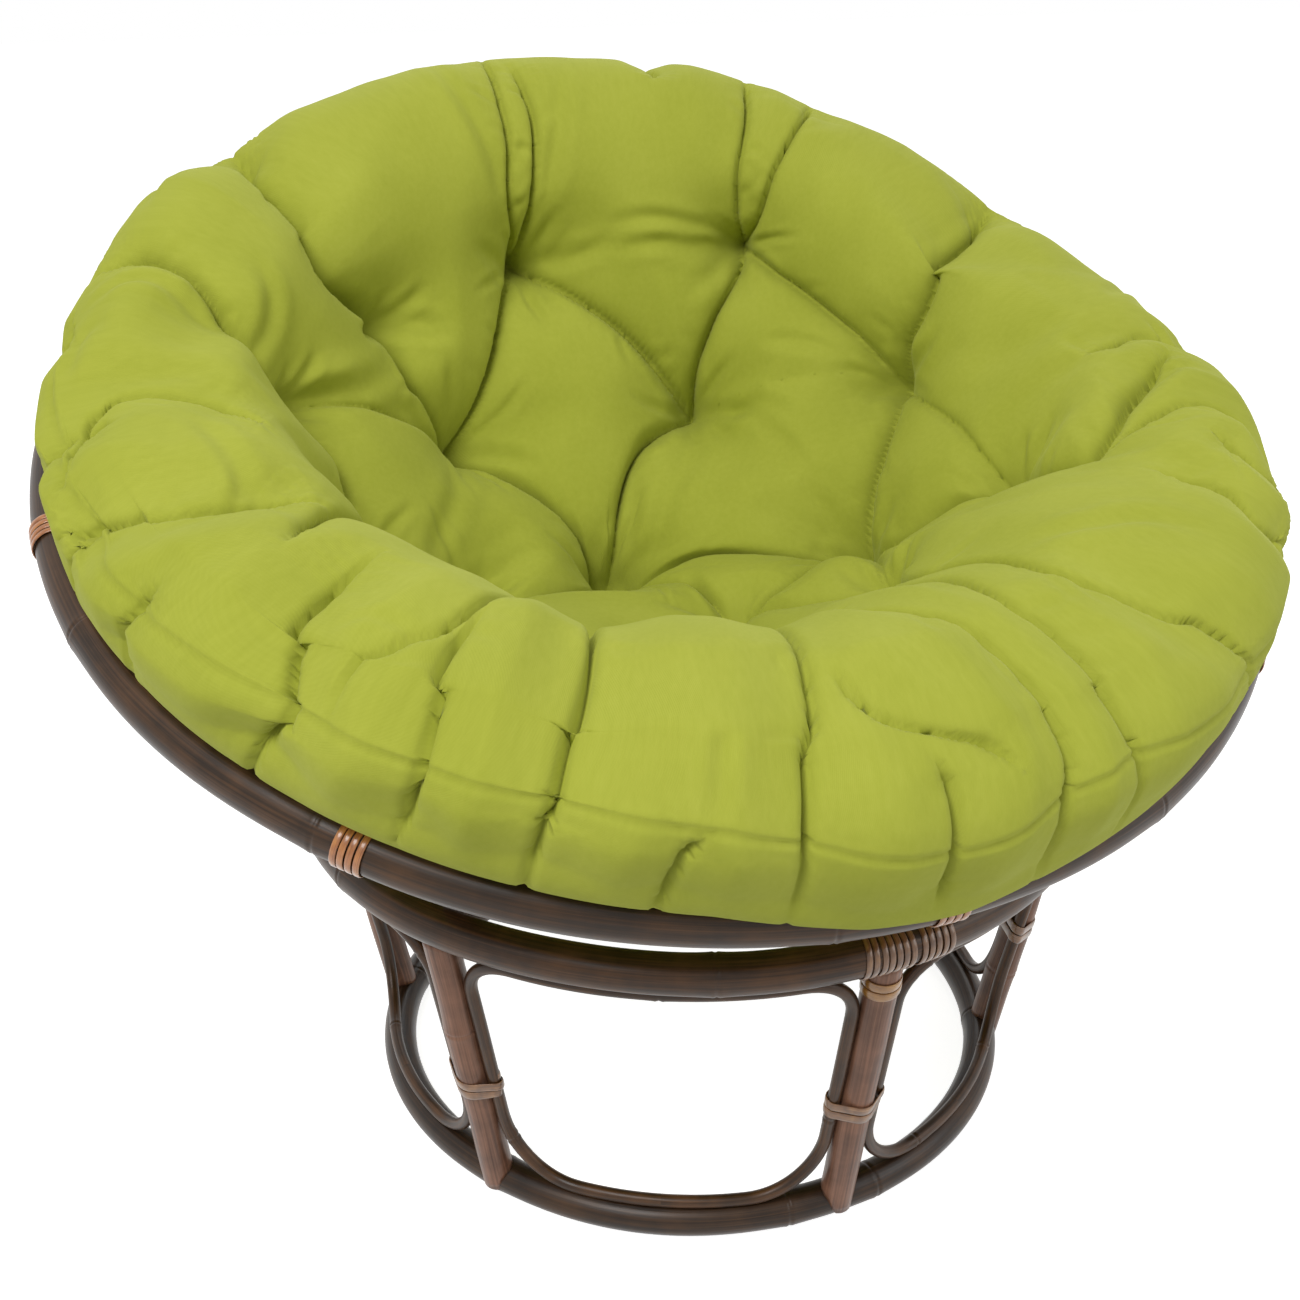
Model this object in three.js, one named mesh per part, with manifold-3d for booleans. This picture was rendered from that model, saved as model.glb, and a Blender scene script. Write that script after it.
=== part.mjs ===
// A papasan chair: a rattan bowl that rests, tilted, in the top ring of a round rattan base,
// with a loose round tufted cushion in the bowl. Millimetres, Z up, front towards -Y.
// The bowl's poles lie on a sphere that touches the base's top ring all round, so the bowl tilts
// about the centre of that sphere. The origin is under the middle of the whole chair, on the floor.
import * as THREE from 'three';
import { mergeVertices } from 'three/addons/utils/BufferGeometryUtils.js';
import Module from 'manifold-3d';

const wasm = await Module();
wasm.setup();

const turn = 2 * Math.PI;
const degree = Math.PI / 180;

// Clearances that all pieces share.
const seatGap = 0.3;
const turnGap = 0.9;

// Base: two rings joined by slanted legs. Ring diameters are measured at the pole's centreline.
const topRingDiameter = 686;
const topRingPole = 32;
const bottomRingDiameter = 569;
const bottomRingPole = 30;
const topRingHeight = 303;
const floorFlatDepth = 0.6;
const legCount = 6;
const legPole = 28;
const firstLegAngle = 4.8 * degree;
const footOutset = 4;
const footHeight = 12;

// Bent rods that fill the panels between the legs.
const loopRod = 11;
const loopTopCorner = 42;
const loopBottomCorner = 66;
const loopStep = 40;

// Rattan peel, the flat strip that ties the poles together.
const peelThickness = 1.2;
const rimPeelWidth = 5;
const rimBindingTurns = 4;
const ringPeelWidth = 4.8;
const ringLashingLeftTurns = 7;
const ringLashingRightTurns = 5;
const collarPeelWidth = 8;
const collarTurns = 2;
const collarDropGap = 3;
const strapPeelWidth = 8.5;
const strapTurns = 2;
const strapHeightShare = 0.43;

// Bowl: a rim, ribs that follow a sphere, and a small ring where the ribs meet at the bottom.
const rimDiameter = 1067;
const rimPole = 36;
const bowlDepth = 354;
const ribCount = 8;
const ribPole = 24;
const ribSetIn = 12;
const firstRibAngle = 5.9 * degree;
const bowlRingDiameter = 300;
const bowlRingPole = 24;
const restTiltShare = 0.687;

// Cushion: a round pad bent into the bowl and over its rim, tied through at tufts. The roll round it
// has a crest, a seam and a lower edge at heights over the rim's centreline.
const cushionThickness = 150;
const rimClearance = 3;
const crestRise = 150;
const seamRise = 120;
const edgeRise = 30;
const overhang = 47.5;
const sideInset = 40;
const tuftDepth = 58;
const tuftReach = 110;
const creaseDepth = 26;
const creaseReach = 90;

// How finely round things are cut into flat faces. Counts, not sizes.
const poleSides = 12;
const rodSides = 6;
const ribSides = 8;
const ribSteps = 8;
const topRingSteps = 8 * legCount;
const bottomRingSteps = 7 * legCount;
const rimSteps = 7 * ribCount;
const bowlRingSteps = 3 * ribCount;
const strapStepShares = [0, 1, 2, 2.5, 3, 3.5, 4, 5, 6, 7, 7.5, 8, 8.5, 9, 9.5, 10, 10.5, 11];
const cornerPieces = 4;
const cushionFacets = 50;

// Shapes as shares. The inner rows of the cushion's section are shares of the rim's angle, each with
// the thickness there at the front, the sides and the back.
const leanShare = 0.174;
const innerRowShares = [
  { angle: 0, thickness: [0.95, 0.95, 0.95] },
  { angle: 0.188, thickness: [1.03, 0.99, 0.97] },
  { angle: 0.377, thickness: [1.12, 1.04, 0.983] },
  { angle: 0.551, thickness: [1.2, 1.083, 0.997] },
  { angle: 0.696, thickness: [1.277, 1.117, 1.003] },
];
// Rows up the wall of the seat, as shares of the rim's radius and of the crest's height.
const wallRowShares = [
  { radius: [0.489, 0.625, 0.683], rise: [-0.05, 0.13, 0.43] },
  { radius: [0.617, 0.702, 0.737], rise: [0.47, 0.44, 0.75] },
  { radius: [0.753, 0.799, 0.824], rise: [0.78, 0.84, 0.93] },
];
// Rows over the roll and down its side: how far out, as a share of the overhang, and how much of
// the inset each takes.
const crestRowShares = { out: -0.874, inset: 0.5 };
const outerRowShares = { out: 0.074, inset: 0.9, rise: 0.9 };
const shoulderRowShares = { out: 0.642, inset: 1, rise: 0.72, overSeam: 1.12 };
const seamRowShares = { out: 0.853, inset: 1 };
const bulgeRowShares = { out: 1, inset: 1, down: 0.36 };
const lowerRowShares = { out: 0.853, inset: 0.8, down: 0.72 };
const edgeRowShares = { out: 0.537, inset: 0.6 };
const sideMixShare = 1.3;
const azimuthRowShare = 1.087;

// The roll all round, from the front and on towards +X, as shares of the crest's, the seam's and
// the edge's heights and of the inset.
const crestShares = [
  1.05, 1.03, 1, 0.93, 0.84, 0.71, 0.55, 0.52, 0.59, 0.8, 0.91, 0.99,
  0.99, 0.99, 0.89, 0.85, 0.77, 0.65, 0.68, 0.8, 0.91, 1.03, 1.06, 1.06,
];
const seamShares = [
  0.78, 1, 0.82, 0.67, 0.56, 0.44, 0.33, 0.38, 0.42, 0.53, 0.65, 0.66,
  0.67, 0.67, 0.67, 0.67, 0.67, 0.69, 0.71, 0.86, 1.01, 1.15, 1.16, 1.07,
];
const edgeShares = [
  0.23, 0.71, 0.79, 0.76, 0.73, 0.74, 0.75, 0.76, 0.77, 0.78, 0.78, 0.79,
  0.8, 0.8, 0.8, 0.8, 0.8, 0.8, 0.8, 0.8, 1.29, 1.36, 1.27, 0.93,
];
const insetShares = [
  0.07, -0.15, -0.45, -0.71, -0.88, -1, -0.96, -0.83, -0.65, -0.45, -0.25, -0.2,
  -0.15, -0.25, -0.35, -0.61, -0.8, -0.91, -0.95, -0.78, -0.46, -0.16, 0.05, 0.06,
];

// Tufts: how far out from the cushion's middle, as a share of the section down to the edge, how far
// round from the front, as a share of a turn, and the depth, as a share of the deepest.
const tuftShares = {
  middle: [0, 0, 0.92],
  innerBackLeft: [0.157, 0.397, 0.96],
  innerLeft: [0.186, 0.197, 0.89],
  innerFront: [0.129, 0.072, 0.6],
  innerRight: [0.139, -0.2, 0.75],
  innerBackRight: [0.149, -0.392, 1],
  outerBack: [0.275, -0.483, 0.96],
  outerBackLeft: [0.318, 0.408, 0.91],
  outerLeftBack: [0.289, 0.292, 0.91],
  outerLeft: [0.346, 0.194, 0.75],
  outerFrontLeft: [0.275, 0.117, 0.64],
  outerFront: [0.279, 0.003, 0.64],
  outerFrontRight: [0.264, -0.106, 0.66],
  outerRight: [0.25, -0.219, 0.68],
  outerRightBack: [0.329, -0.303, 0.8],
  outerBackRight: [0.279, -0.386, 0.82],
};

// Creases that run from tuft to tuft, with their depths as shares of the deepest.
const tuftCreaseShares = [
  ['middle', 'innerBackLeft', 0.92], ['middle', 'innerLeft', 0.75], ['middle', 'innerFront', 0.46],
  ['middle', 'innerRight', 0.7], ['middle', 'innerBackRight', 1], ['innerBackRight', 'outerBack', 0.92],
  ['outerBack', 'innerBackLeft', 0.88], ['innerBackLeft', 'outerBackLeft', 0.92],
  ['outerBackLeft', 'outerLeftBack', 0.8], ['outerLeftBack', 'innerLeft', 0.88],
  ['outerLeftBack', 'outerLeft', 0.55], ['innerLeft', 'outerLeft', 0.75],
  ['innerBackRight', 'outerBackRight', 1], ['innerBackRight', 'outerRightBack', 0.7],
  ['outerRightBack', 'outerRight', 0.83], ['innerRight', 'outerRight', 0.7],
  ['innerRight', 'outerFrontRight', 0.6], ['innerFront', 'outerFrontRight', 0.5],
  ['innerFront', 'outerFront', 0.6], ['innerFront', 'innerLeft', 0.6],
  ['innerFront', 'outerFrontLeft', 0.55], ['innerLeft', 'outerFrontLeft', 0.6],
];
// Creases that run from a tuft out over the roll to a place given as shares, as a tuft's is.
const edgeCreaseShares = [
  ['outerBack', 0.7, -0.487, 0.6], ['outerBackLeft', 0.7, 0.425, 0.6], ['outerBackLeft', 0.7, 0.392, 0.6],
  ['outerLeftBack', 0.7, 0.328, 0.9], ['outerLeft', 0.65, 0.244, 0.75], ['outerBackRight', 0.75, -0.394, 1],
  ['outerRightBack', 0.72, -0.319, 0.75], ['outerRight', 0.7, -0.215, 0.6], ['outerFrontRight', 1, -0.1, 0.6],
  ['outerFrontRight', 1, -0.073, 0.6], ['outerFront', 1, -0.025, 0.5], ['outerFrontLeft', 0.95, 0.053, 0.5],
  ['outerFrontLeft', 0.9, 0.1, 0.5], ['outerLeft', 0.8, 0.183, 0.45], ['outerLeftBack', 0.75, 0.286, 0.45],
];

// Where the cushion's section is cut, as shares of its way from the middle to the lower edge, then
// round the rim and back underneath.
const topCutShares = [
  0.05, 0.1, 0.15, 0.2, 0.243, 0.286, 0.336, 0.393, 0.457, 0.514, 0.571, 0.643, 0.714, 0.786, 0.886, 1,
];
const lapCutShares = [0.86, 0.66, 0.46, 0.28, 0.12];
const underCutShares = [1, 0.66, 0.33];
const slopeStepShare = 0.004;

// Radii and places that follow from the sizes above.
const topRingRadius = topRingDiameter / 2;
const bottomRingRadius = bottomRingDiameter / 2;
const bottomRingHeight = bottomRingPole / 2 - floorFlatDepth;
const rimRadius = (rimDiameter - rimPole) / 2;
const rimSphere = (rimRadius ** 2 + bowlDepth ** 2) / (2 * bowlDepth);
const rimDrop = rimSphere - bowlDepth;
const rimPolar = Math.atan2(rimRadius, rimDrop);
const ribSphere = rimSphere - ribSetIn;
const bowlRingPolar = Math.asin(bowlRingDiameter / 2 / ribSphere);
const ribStart = bowlRingPolar + Math.asin(bowlRingPole / 4 / ribSphere);

// The ribs clear the ring by the thickness of its lashing, on which they rest.
const bowlSeat = 2 * seatGap + peelThickness;
const ringSphere = ribSphere + ribPole / 2 + bowlSeat + topRingPole / 2;
const bowlCentreHeight = topRingHeight + Math.sqrt(ringSphere ** 2 - topRingRadius ** 2);
const ringPolar = Math.asin(topRingRadius / ringSphere);
const rimToRing = rimPole / 2 + topRingPole / 2 + 2 * bowlSeat;
const stopSquares = rimSphere ** 2 + ringSphere ** 2 - rimToRing ** 2;
const stopPolar = Math.acos(stopSquares / (2 * rimSphere * ringSphere));
const tiltStop = rimPolar - ringPolar - stopPolar;
const restTilt = restTiltShare * tiltStop;

const darkRattan = new THREE.MeshStandardMaterial({ color: '#463a30', roughness: 0.42, metalness: 0 });
const redRattan = new THREE.MeshStandardMaterial({ color: '#54402f', roughness: 0.42, metalness: 0 });
const brownPeel = new THREE.MeshStandardMaterial({ color: '#8f6238', roughness: 0.5, metalness: 0 });
const goldPeel = new THREE.MeshStandardMaterial({ color: '#a97b3f', roughness: 0.5, metalness: 0 });
const limeTwill = new THREE.MeshStandardMaterial({ color: '#a6b043', roughness: 0.92, metalness: 0 });

// Turns a closed geometry into a solid that can be joined and cut.
function toSolid(geometry) {
  const bare = geometry.clone();
  bare.deleteAttribute('normal');
  bare.deleteAttribute('uv');
  const merged = mergeVertices(bare, seatGap / 100);
  const vertProperties = new Float32Array(merged.attributes.position.array);
  const triVerts = new Uint32Array(merged.index.array);
  return new wasm.Manifold(new wasm.Mesh({ numProp: 3, vertProperties, triVerts }));
}

// Turns a cut solid back into a geometry.
function toGeometry(solid) {
  const mesh = solid.getMesh();
  const geometry = new THREE.BufferGeometry();
  geometry.setAttribute('position', new THREE.BufferAttribute(mesh.vertProperties, 3));
  geometry.setIndex(new THREE.BufferAttribute(mesh.triVerts, 1));
  geometry.computeVertexNormals();
  return geometry;
}

// The corner points of a round section, the first one along the section's own first axis.
function roundSection(radius, sides) {
  return Array.from({ length: sides }, (_, i) => {
    const angle = (i / sides) * turn;
    return new THREE.Vector2(radius * Math.cos(angle), radius * Math.sin(angle));
  });
}

// A flat strip's section: its width along the first axis, lying on the line and growing outwards.
function stripSection(width, thickness) {
  const half = width / 2;
  const corners = [[-half, 0], [half, 0], [half, thickness], [-half, thickness]];
  return corners.map(([x, y]) => new THREE.Vector2(x, y));
}

// Sweeps a section along points. Each point carries the outward direction that the section's
// second axis keeps to, so a strip stays flat on what it is wound round.
function sweep(points, outwards, section, closed) {
  const count = points.length;
  const corners = section.length;
  const positions = [];
  points.forEach((point, i) => {
    const before = closed ? points[(i + count - 1) % count] : points[Math.max(i - 1, 0)];
    const after = closed ? points[(i + 1) % count] : points[Math.min(i + 1, count - 1)];
    const along = after.clone().sub(before).normalize();
    const across = outwards[i].clone().cross(along).normalize();
    const out = along.clone().cross(across);
    section.forEach((corner) => {
      const place = point.clone().addScaledVector(across, corner.x).addScaledVector(out, corner.y);
      positions.push(place.x, place.y, place.z);
    });
  });
  const faces = [];
  const spans = closed ? count : count - 1;
  for (let i = 0; i < spans; i += 1) {
    for (let k = 0; k < corners; k += 1) {
      const a = i * corners + k;
      const b = i * corners + ((k + 1) % corners);
      const c = ((i + 1) % count) * corners + k;
      const d = ((i + 1) % count) * corners + ((k + 1) % corners);
      faces.push(a, b, c, b, d, c);
    }
  }
  if (!closed) {
    const last = (count - 1) * corners;
    for (let k = 1; k < corners - 1; k += 1) {
      faces.push(0, k + 1, k, last, last + k, last + k + 1);
    }
  }
  const geometry = new THREE.BufferGeometry();
  geometry.setAttribute('position', new THREE.Float32BufferAttribute(positions, 3));
  geometry.setIndex(faces);
  geometry.computeVertexNormals();
  return geometry;
}

// A point at a radius and an angle from the front, turning towards +X.
function aroundZ(radius, angle, height) {
  return new THREE.Vector3(radius * Math.sin(angle), -radius * Math.cos(angle), height);
}

// A ring bent from one pole, lying flat, with one of its corners at the given angle.
function ring(centreRadius, pole, steps, angle) {
  const geometry = new THREE.TorusGeometry(centreRadius, pole / 2, poleSides, steps);
  geometry.rotateZ(angle - turn / 4);
  return geometry;
}

// A ring is cut into straight stretches, so its centreline runs inside the true circle there.
function ringLineRadius(centreRadius, steps, angleFromCorner) {
  const half = turn / steps / 2;
  const within = ((angleFromCorner % (2 * half)) + 2 * half) % (2 * half);
  return (centreRadius * Math.cos(half)) / Math.cos(within - half);
}

// Winds peel along points and notes the smallest gap, on the corners of its section, between
// each turn and the next.
const windingGaps = [];

function wind(name, points, outwards, perTurn, width) {
  const section = stripSection(width, peelThickness);
  const geometry = sweep(points, outwards, section, false);
  const corners = Array.from({ length: points.length * section.length }, (_, i) => (
    new THREE.Vector3().fromBufferAttribute(geometry.attributes.position, i)
  ));
  const nextTurn = (perTurn - 1) * section.length;
  let least = Infinity;
  corners.forEach((corner, i) => {
    corners.slice(i + nextTurn, i + nextTurn + 2 * section.length).forEach((other) => {
      least = Math.min(least, corner.distanceTo(other));
    });
  });
  windingGaps.push(`${name} ${least.toFixed(2)} mm`);
  return geometry;
}

// Peel wound round a ring, as a helix whose corners lie over the ring's own corners.
// It starts at an arc length from the ring's corner at angle zero and spreads that way.
function ringWinding(name, spot) {
  const radius = spot.pole / 2 + seatGap;
  const pitch = spot.width + turnGap;
  const points = [];
  const outwards = [];
  for (let i = 0; i <= spot.turns * poleSides; i += 1) {
    const angle = spot.from / spot.centreRadius + (i / poleSides) * (pitch / spot.centreRadius);
    const line = ringLineRadius(spot.centreRadius, spot.steps, angle);
    const swing = (i / poleSides) * turn + spot.startCorner * (turn / poleSides);
    const out = aroundZ(Math.cos(swing), angle, Math.sin(swing));
    points.push(aroundZ(line, angle, 0).addScaledVector(out, radius));
    outwards.push(out);
  }
  return wind(name, points, outwards, poleSides, spot.width);
}

// Peel wound round a straight pole that stands along Z.
function poleWinding(name, pole, width, turns) {
  const pitch = width + turnGap;
  const points = [];
  const outwards = [];
  for (let i = 0; i <= turns * poleSides; i += 1) {
    const swing = (i / poleSides) * turn;
    const out = new THREE.Vector3(Math.sin(swing), Math.cos(swing), 0);
    points.push(out.clone().multiplyScalar(pole / 2 + seatGap).setZ((i / poleSides - turns / 2) * pitch));
    outwards.push(out);
  }
  return wind(name, points, outwards, poleSides, width);
}

// Base.

const baseSlope = new THREE.Vector2(topRingRadius - bottomRingRadius, topRingHeight - bottomRingHeight);
const baseSlopeLength = baseSlope.length();
const baseLean = Math.atan2(baseSlope.x, baseSlope.y);

function topRing() {
  return ring(topRingRadius, topRingPole, topRingSteps, firstLegAngle);
}

// The bottom ring stands on a narrow flat that is sanded on its underside.
function bottomRing() {
  const pole = ring(bottomRingRadius, bottomRingPole, bottomRingSteps, firstLegAngle);
  pole.translate(0, 0, bottomRingHeight);
  const reach = bottomRingDiameter + 2 * bottomRingPole;
  const floor = new THREE.BoxGeometry(reach, reach, bottomRingPole);
  floor.translate(0, 0, -bottomRingPole / 2);
  return toGeometry(toSolid(pole).subtract(toSolid(floor)));
}

// A leg leans outwards from the bottom ring to the top ring. Its head is hollowed to fit under the
// top ring, and its foot is hollowed to fit over the outer side of the bottom ring.
const footRadius = bottomRingRadius + footOutset;
const legRun = new THREE.Vector2(topRingRadius - footRadius, topRingHeight - footHeight);
const legLean = Math.atan2(legRun.x, legRun.y);

function leg(headGap) {
  const pole = new THREE.CylinderGeometry(legPole / 2, legPole / 2, legRun.length(), poleSides);
  pole.rotateX(turn / 4 + legLean);
  pole.translate(0, -(topRingRadius + footRadius) / 2, (topRingHeight + footHeight) / 2);
  const head = ring(topRingRadius, topRingPole + 2 * headGap, topRingSteps, 0);
  head.translate(0, 0, topRingHeight);
  const foot = ring(bottomRingRadius, bottomRingPole + 2 * seatGap, bottomRingSteps, 0);
  foot.translate(0, 0, bottomRingHeight);
  return toGeometry(toSolid(pole).subtract(toSolid(head)).subtract(toSolid(foot)));
}

// A panel loop is a closed rod in the cone between the rings: it lies under the top ring, on the
// bottom ring and along both legs. Its outline is drawn on the unrolled cone, then wrapped round.
function panelLoop() {
  const topStop = baseSlopeLength - topRingPole / 2 - loopRod / 2 - seatGap;
  const bottomStop = bottomRingPole / 2 + loopRod / 2 + seatGap;
  const legReach = legPole / 2 + loopRod / 2 + seatGap;
  const radiusAt = (up) => bottomRingRadius + (baseSlope.x * up) / baseSlopeLength;
  const halfTurnAt = (up) => turn / legCount / 2 - Math.asin(legReach / radiusAt(up));
  const halfWidth = radiusAt((topStop + bottomStop) / 2) * halfTurnAt((topStop + bottomStop) / 2);
  const outline = new THREE.Path();
  const topX = halfWidth - loopTopCorner;
  const topY = topStop - loopTopCorner;
  const bottomX = halfWidth - loopBottomCorner;
  const bottomY = bottomStop + loopBottomCorner;
  outline.moveTo(0, bottomStop);
  outline.lineTo(bottomX, bottomStop);
  outline.absarc(bottomX, bottomY, loopBottomCorner, -turn / 4, 0);
  outline.absarc(topX, topY, loopTopCorner, 0, turn / 4);
  outline.absarc(-topX, topY, loopTopCorner, turn / 4, turn / 2);
  outline.absarc(-bottomX, bottomY, loopBottomCorner, turn / 2, turn * 0.75);
  outline.closePath();
  const flat = [];
  outline.curves.forEach((curve) => {
    const pieces = curve.isLineCurve ? Math.ceil(curve.getLength() / loopStep) : cornerPieces;
    for (let i = 0; i < pieces; i += 1) flat.push(curve.getPoint(i / pieces));
  });
  const outwards = [];
  const points = flat.map((spot) => {
    const angle = (spot.x / halfWidth) * halfTurnAt(spot.y);
    outwards.push(aroundZ(Math.cos(baseLean), angle, -Math.sin(baseLean)));
    return aroundZ(radiusAt(spot.y), angle, bottomRingHeight + (baseSlope.y * spot.y) / baseSlopeLength);
  });
  return sweep(points, outwards, roundSection(loopRod / 2, rodSides), true);
}

// Peel strapped round a leg and the loop rod on each side of it. A strip pulled tight round three
// rods touches, in each direction, the rod that reaches furthest that way.
function legStrap() {
  const reach = legPole / 2 + loopRod / 2 + seatGap;
  const rodsAt = (up) => {
    const height = footHeight + legRun.y * strapHeightShare + up * Math.cos(legLean);
    const legRadius = footRadius + (legRun.x * (height - footHeight)) / legRun.y;
    const coneRadius = bottomRingRadius + (baseSlope.x * (height - bottomRingHeight)) / baseSlope.y;
    const outset = (Math.sqrt(coneRadius ** 2 - reach ** 2) - legRadius) * Math.cos(legLean);
    return [
      { place: new THREE.Vector2(0, 0), radius: legPole / 2 },
      { place: new THREE.Vector2(reach, outset), radius: loopRod / 2 },
      { place: new THREE.Vector2(-reach, outset), radius: loopRod / 2 },
    ];
  };
  const facingShares = strapStepShares.map((step) => step / poleSides);
  const perTurn = facingShares.length;
  const pitch = strapPeelWidth + turnGap;
  const points = [];
  const outwards = [];
  for (let i = 0; i <= strapTurns * perTurn; i += 1) {
    const up = (i / perTurn - strapTurns / 2) * pitch;
    const facing = facingShares[i % perTurn] * turn;
    const out = new THREE.Vector2(Math.cos(facing), Math.sin(facing));
    const reachOf = (rod) => rod.place.dot(out) + rod.radius;
    const rod = rodsAt(up).reduce((best, other) => (reachOf(other) > reachOf(best) ? other : best));
    const place = rod.place.clone().addScaledVector(out, rod.radius + 2 * seatGap);
    points.push(new THREE.Vector3(place.x, -place.y, up));
    outwards.push(new THREE.Vector3(out.x, -out.y, 0));
  }
  const strap = wind('leg_strap', points, outwards, perTurn, strapPeelWidth);
  strap.rotateX(legLean);
  return strap;
}

// Bowl. Its pieces are made round the centre of its sphere, with the bowl level.

function rim() {
  const pole = ring(rimRadius, rimPole, rimSteps, firstRibAngle);
  pole.translate(0, 0, -rimDrop);
  return pole;
}

function bowlRing() {
  const pole = ring(bowlRingDiameter / 2, bowlRingPole, bowlRingSteps, firstRibAngle);
  pole.translate(0, 0, -ribSphere * Math.cos(bowlRingPolar));
  return pole;
}

// The line of a rib: an arc of the sphere, from the side of the small ring up to the rim.
class RibLine extends THREE.Curve {
  getPoint(share, target = new THREE.Vector3()) {
    const polar = ribStart + share * (rimPolar - ribStart);
    return target.copy(aroundZ(ribSphere * Math.sin(polar), 0, -ribSphere * Math.cos(polar)));
  }
}

// A rib's ends are hollowed to fit against the rim and the small ring.
function rib() {
  const section = new THREE.Shape(roundSection(ribPole / 2, ribSides));
  const pole = new THREE.ExtrudeGeometry(section, { steps: ribSteps, extrudePath: new RibLine() });
  const top = ring(rimRadius, rimPole + 2 * seatGap, rimSteps, 0);
  top.translate(0, 0, -rimDrop);
  const bottom = ring(bowlRingDiameter / 2, bowlRingPole + 2 * seatGap, bowlRingSteps, 0);
  bottom.translate(0, 0, -ribSphere * Math.cos(bowlRingPolar));
  return toGeometry(toSolid(pole).subtract(toSolid(top)).subtract(toSolid(bottom)));
}

// Peel wound round the rim beside each rib.
function rimBinding() {
  const pitch = rimPeelWidth + turnGap;
  const binding = ringWinding('rim_binding', {
    centreRadius: rimRadius,
    pole: rimPole,
    steps: rimSteps,
    width: rimPeelWidth,
    turns: rimBindingTurns,
    startCorner: 0,
    from: -(ribPole / 2 + seatGap + rimPeelWidth + rimBindingTurns * pitch),
  });
  binding.translate(0, 0, -rimDrop);
  return binding;
}

// Cushion. Its pattern is set out round its own middle, which leans back further than the bowl, and
// its under side fits the ribs.

const cushionSphere = (ribSphere - ribPole / 2) * Math.cos((rimPolar - ribStart) / ribSteps / 2) - seatGap;
const rimClear = rimPole / 2 + peelThickness + rimClearance;

// A table of shares all round is read between its entries.
function allRound(shares, angle) {
  const spot = THREE.MathUtils.euclideanModulo(angle / turn, 1) * shares.length;
  const first = Math.floor(spot);
  return THREE.MathUtils.lerp(shares[first], shares[(first + 1) % shares.length], spot - first);
}

// The direction, from the centre of the bowl's sphere, of a place in the cushion's pattern.
function cushionDirection(polar, around) {
  const direction = aroundZ(Math.sin(polar), around, -Math.cos(polar));
  return direction.applyAxisAngle(new THREE.Vector3(1, 0, 0), leanShare * rimPolar);
}

// Round the bowl, the outer rows stand at the azimuth where the pattern's lines cross the roll.
function bowlAzimuth(around) {
  const direction = cushionDirection(azimuthRowShare * rimPolar, around);
  return Math.atan2(direction.x, -direction.y);
}

// The roll's sizes where one of the pattern's lines crosses it.
function rollAt(around) {
  const azimuth = bowlAzimuth(around);
  return {
    azimuth,
    crest: crestRise * allRound(crestShares, azimuth),
    seam: seamRise * allRound(seamShares, azimuth),
    edge: edgeRise * allRound(edgeShares, azimuth),
    inset: sideInset * allRound(insetShares, azimuth),
  };
}

function rollRadius(roll, row) {
  return rimRadius + overhang * row.out + roll.inset * row.inset;
}

// The section of the puffed-up pad along one line of its pattern, from its middle to its lower edge.
function padSection(around) {
  const front = Math.max(Math.cos(around), 0) ** sideMixShare;
  const back = Math.max(-Math.cos(around), 0) ** sideMixShare;
  const mix = ([atFront, atSide, atBack]) => front * atFront + (1 - front - back) * atSide + back * atBack;
  const roll = rollAt(around);
  const at = (radius, rise) => aroundZ(radius, roll.azimuth, rise - rimDrop);
  const points = innerRowShares.map((row) => (
    cushionDirection(row.angle * rimPolar, around)
      .multiplyScalar(cushionSphere - cushionThickness * mix(row.thickness))
  ));
  wallRowShares.forEach((row) => points.push(at(rimRadius * mix(row.radius), roll.crest * mix(row.rise))));
  const side = roll.seam - roll.edge;
  points.push(at(rollRadius(roll, crestRowShares), roll.crest));
  points.push(at(rollRadius(roll, outerRowShares), roll.crest * outerRowShares.rise));
  const shoulder = Math.max(roll.crest * shoulderRowShares.rise, roll.seam * shoulderRowShares.overSeam);
  points.push(at(rollRadius(roll, shoulderRowShares), shoulder));
  points.push(at(rollRadius(roll, seamRowShares), roll.seam));
  points.push(at(rollRadius(roll, bulgeRowShares), roll.seam - side * bulgeRowShares.down));
  points.push(at(rollRadius(roll, lowerRowShares), roll.seam - side * lowerRowShares.down));
  points.push(at(rollRadius(roll, edgeRowShares), roll.edge));
  return new THREE.CatmullRomCurve3(points, false, 'catmullrom');
}

function padPlace(share, around) {
  return padSection(around).getPoint(share);
}

const tuftPlaces = Object.fromEntries(Object.entries(tuftShares).map(([name, [share, round]]) => (
  [name, padPlace(share, round * turn)]
)));
const creases = tuftCreaseShares.map(([start, end, depth]) => (
  { line: new THREE.Line3(tuftPlaces[start], tuftPlaces[end]), depth }
));
edgeCreaseShares.forEach(([start, share, round, depth]) => {
  const tuft = tuftShares[start];
  const halfway = padPlace((tuft[0] + share) / 2, round * turn);
  creases.push({ line: new THREE.Line3(tuftPlaces[start], halfway), depth });
  creases.push({ line: new THREE.Line3(halfway, padPlace(share, round * turn)), depth });
});

// A pull is steep beside its tuft or crease and level at its reach, so puffs meet in valleys.
function valley(distance, reach) {
  return 1 - Math.sqrt(1 - Math.max(1 - distance / reach, 0) ** 2);
}

// How far the sewing pulls the pad's face in at a place.
function drawnIn(place) {
  const pulls = Object.entries(tuftPlaces).map(([name, tuft]) => (
    tuftDepth * tuftShares[name][2] * valley(place.distanceTo(tuft), tuftReach)
  ));
  creases.forEach(({ line, depth }) => {
    const distance = place.distanceTo(line.closestPointToPoint(place, true, new THREE.Vector3()));
    pulls.push(creaseDepth * depth * valley(distance, creaseReach));
  });
  return Math.hypot(...pulls);
}

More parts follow.
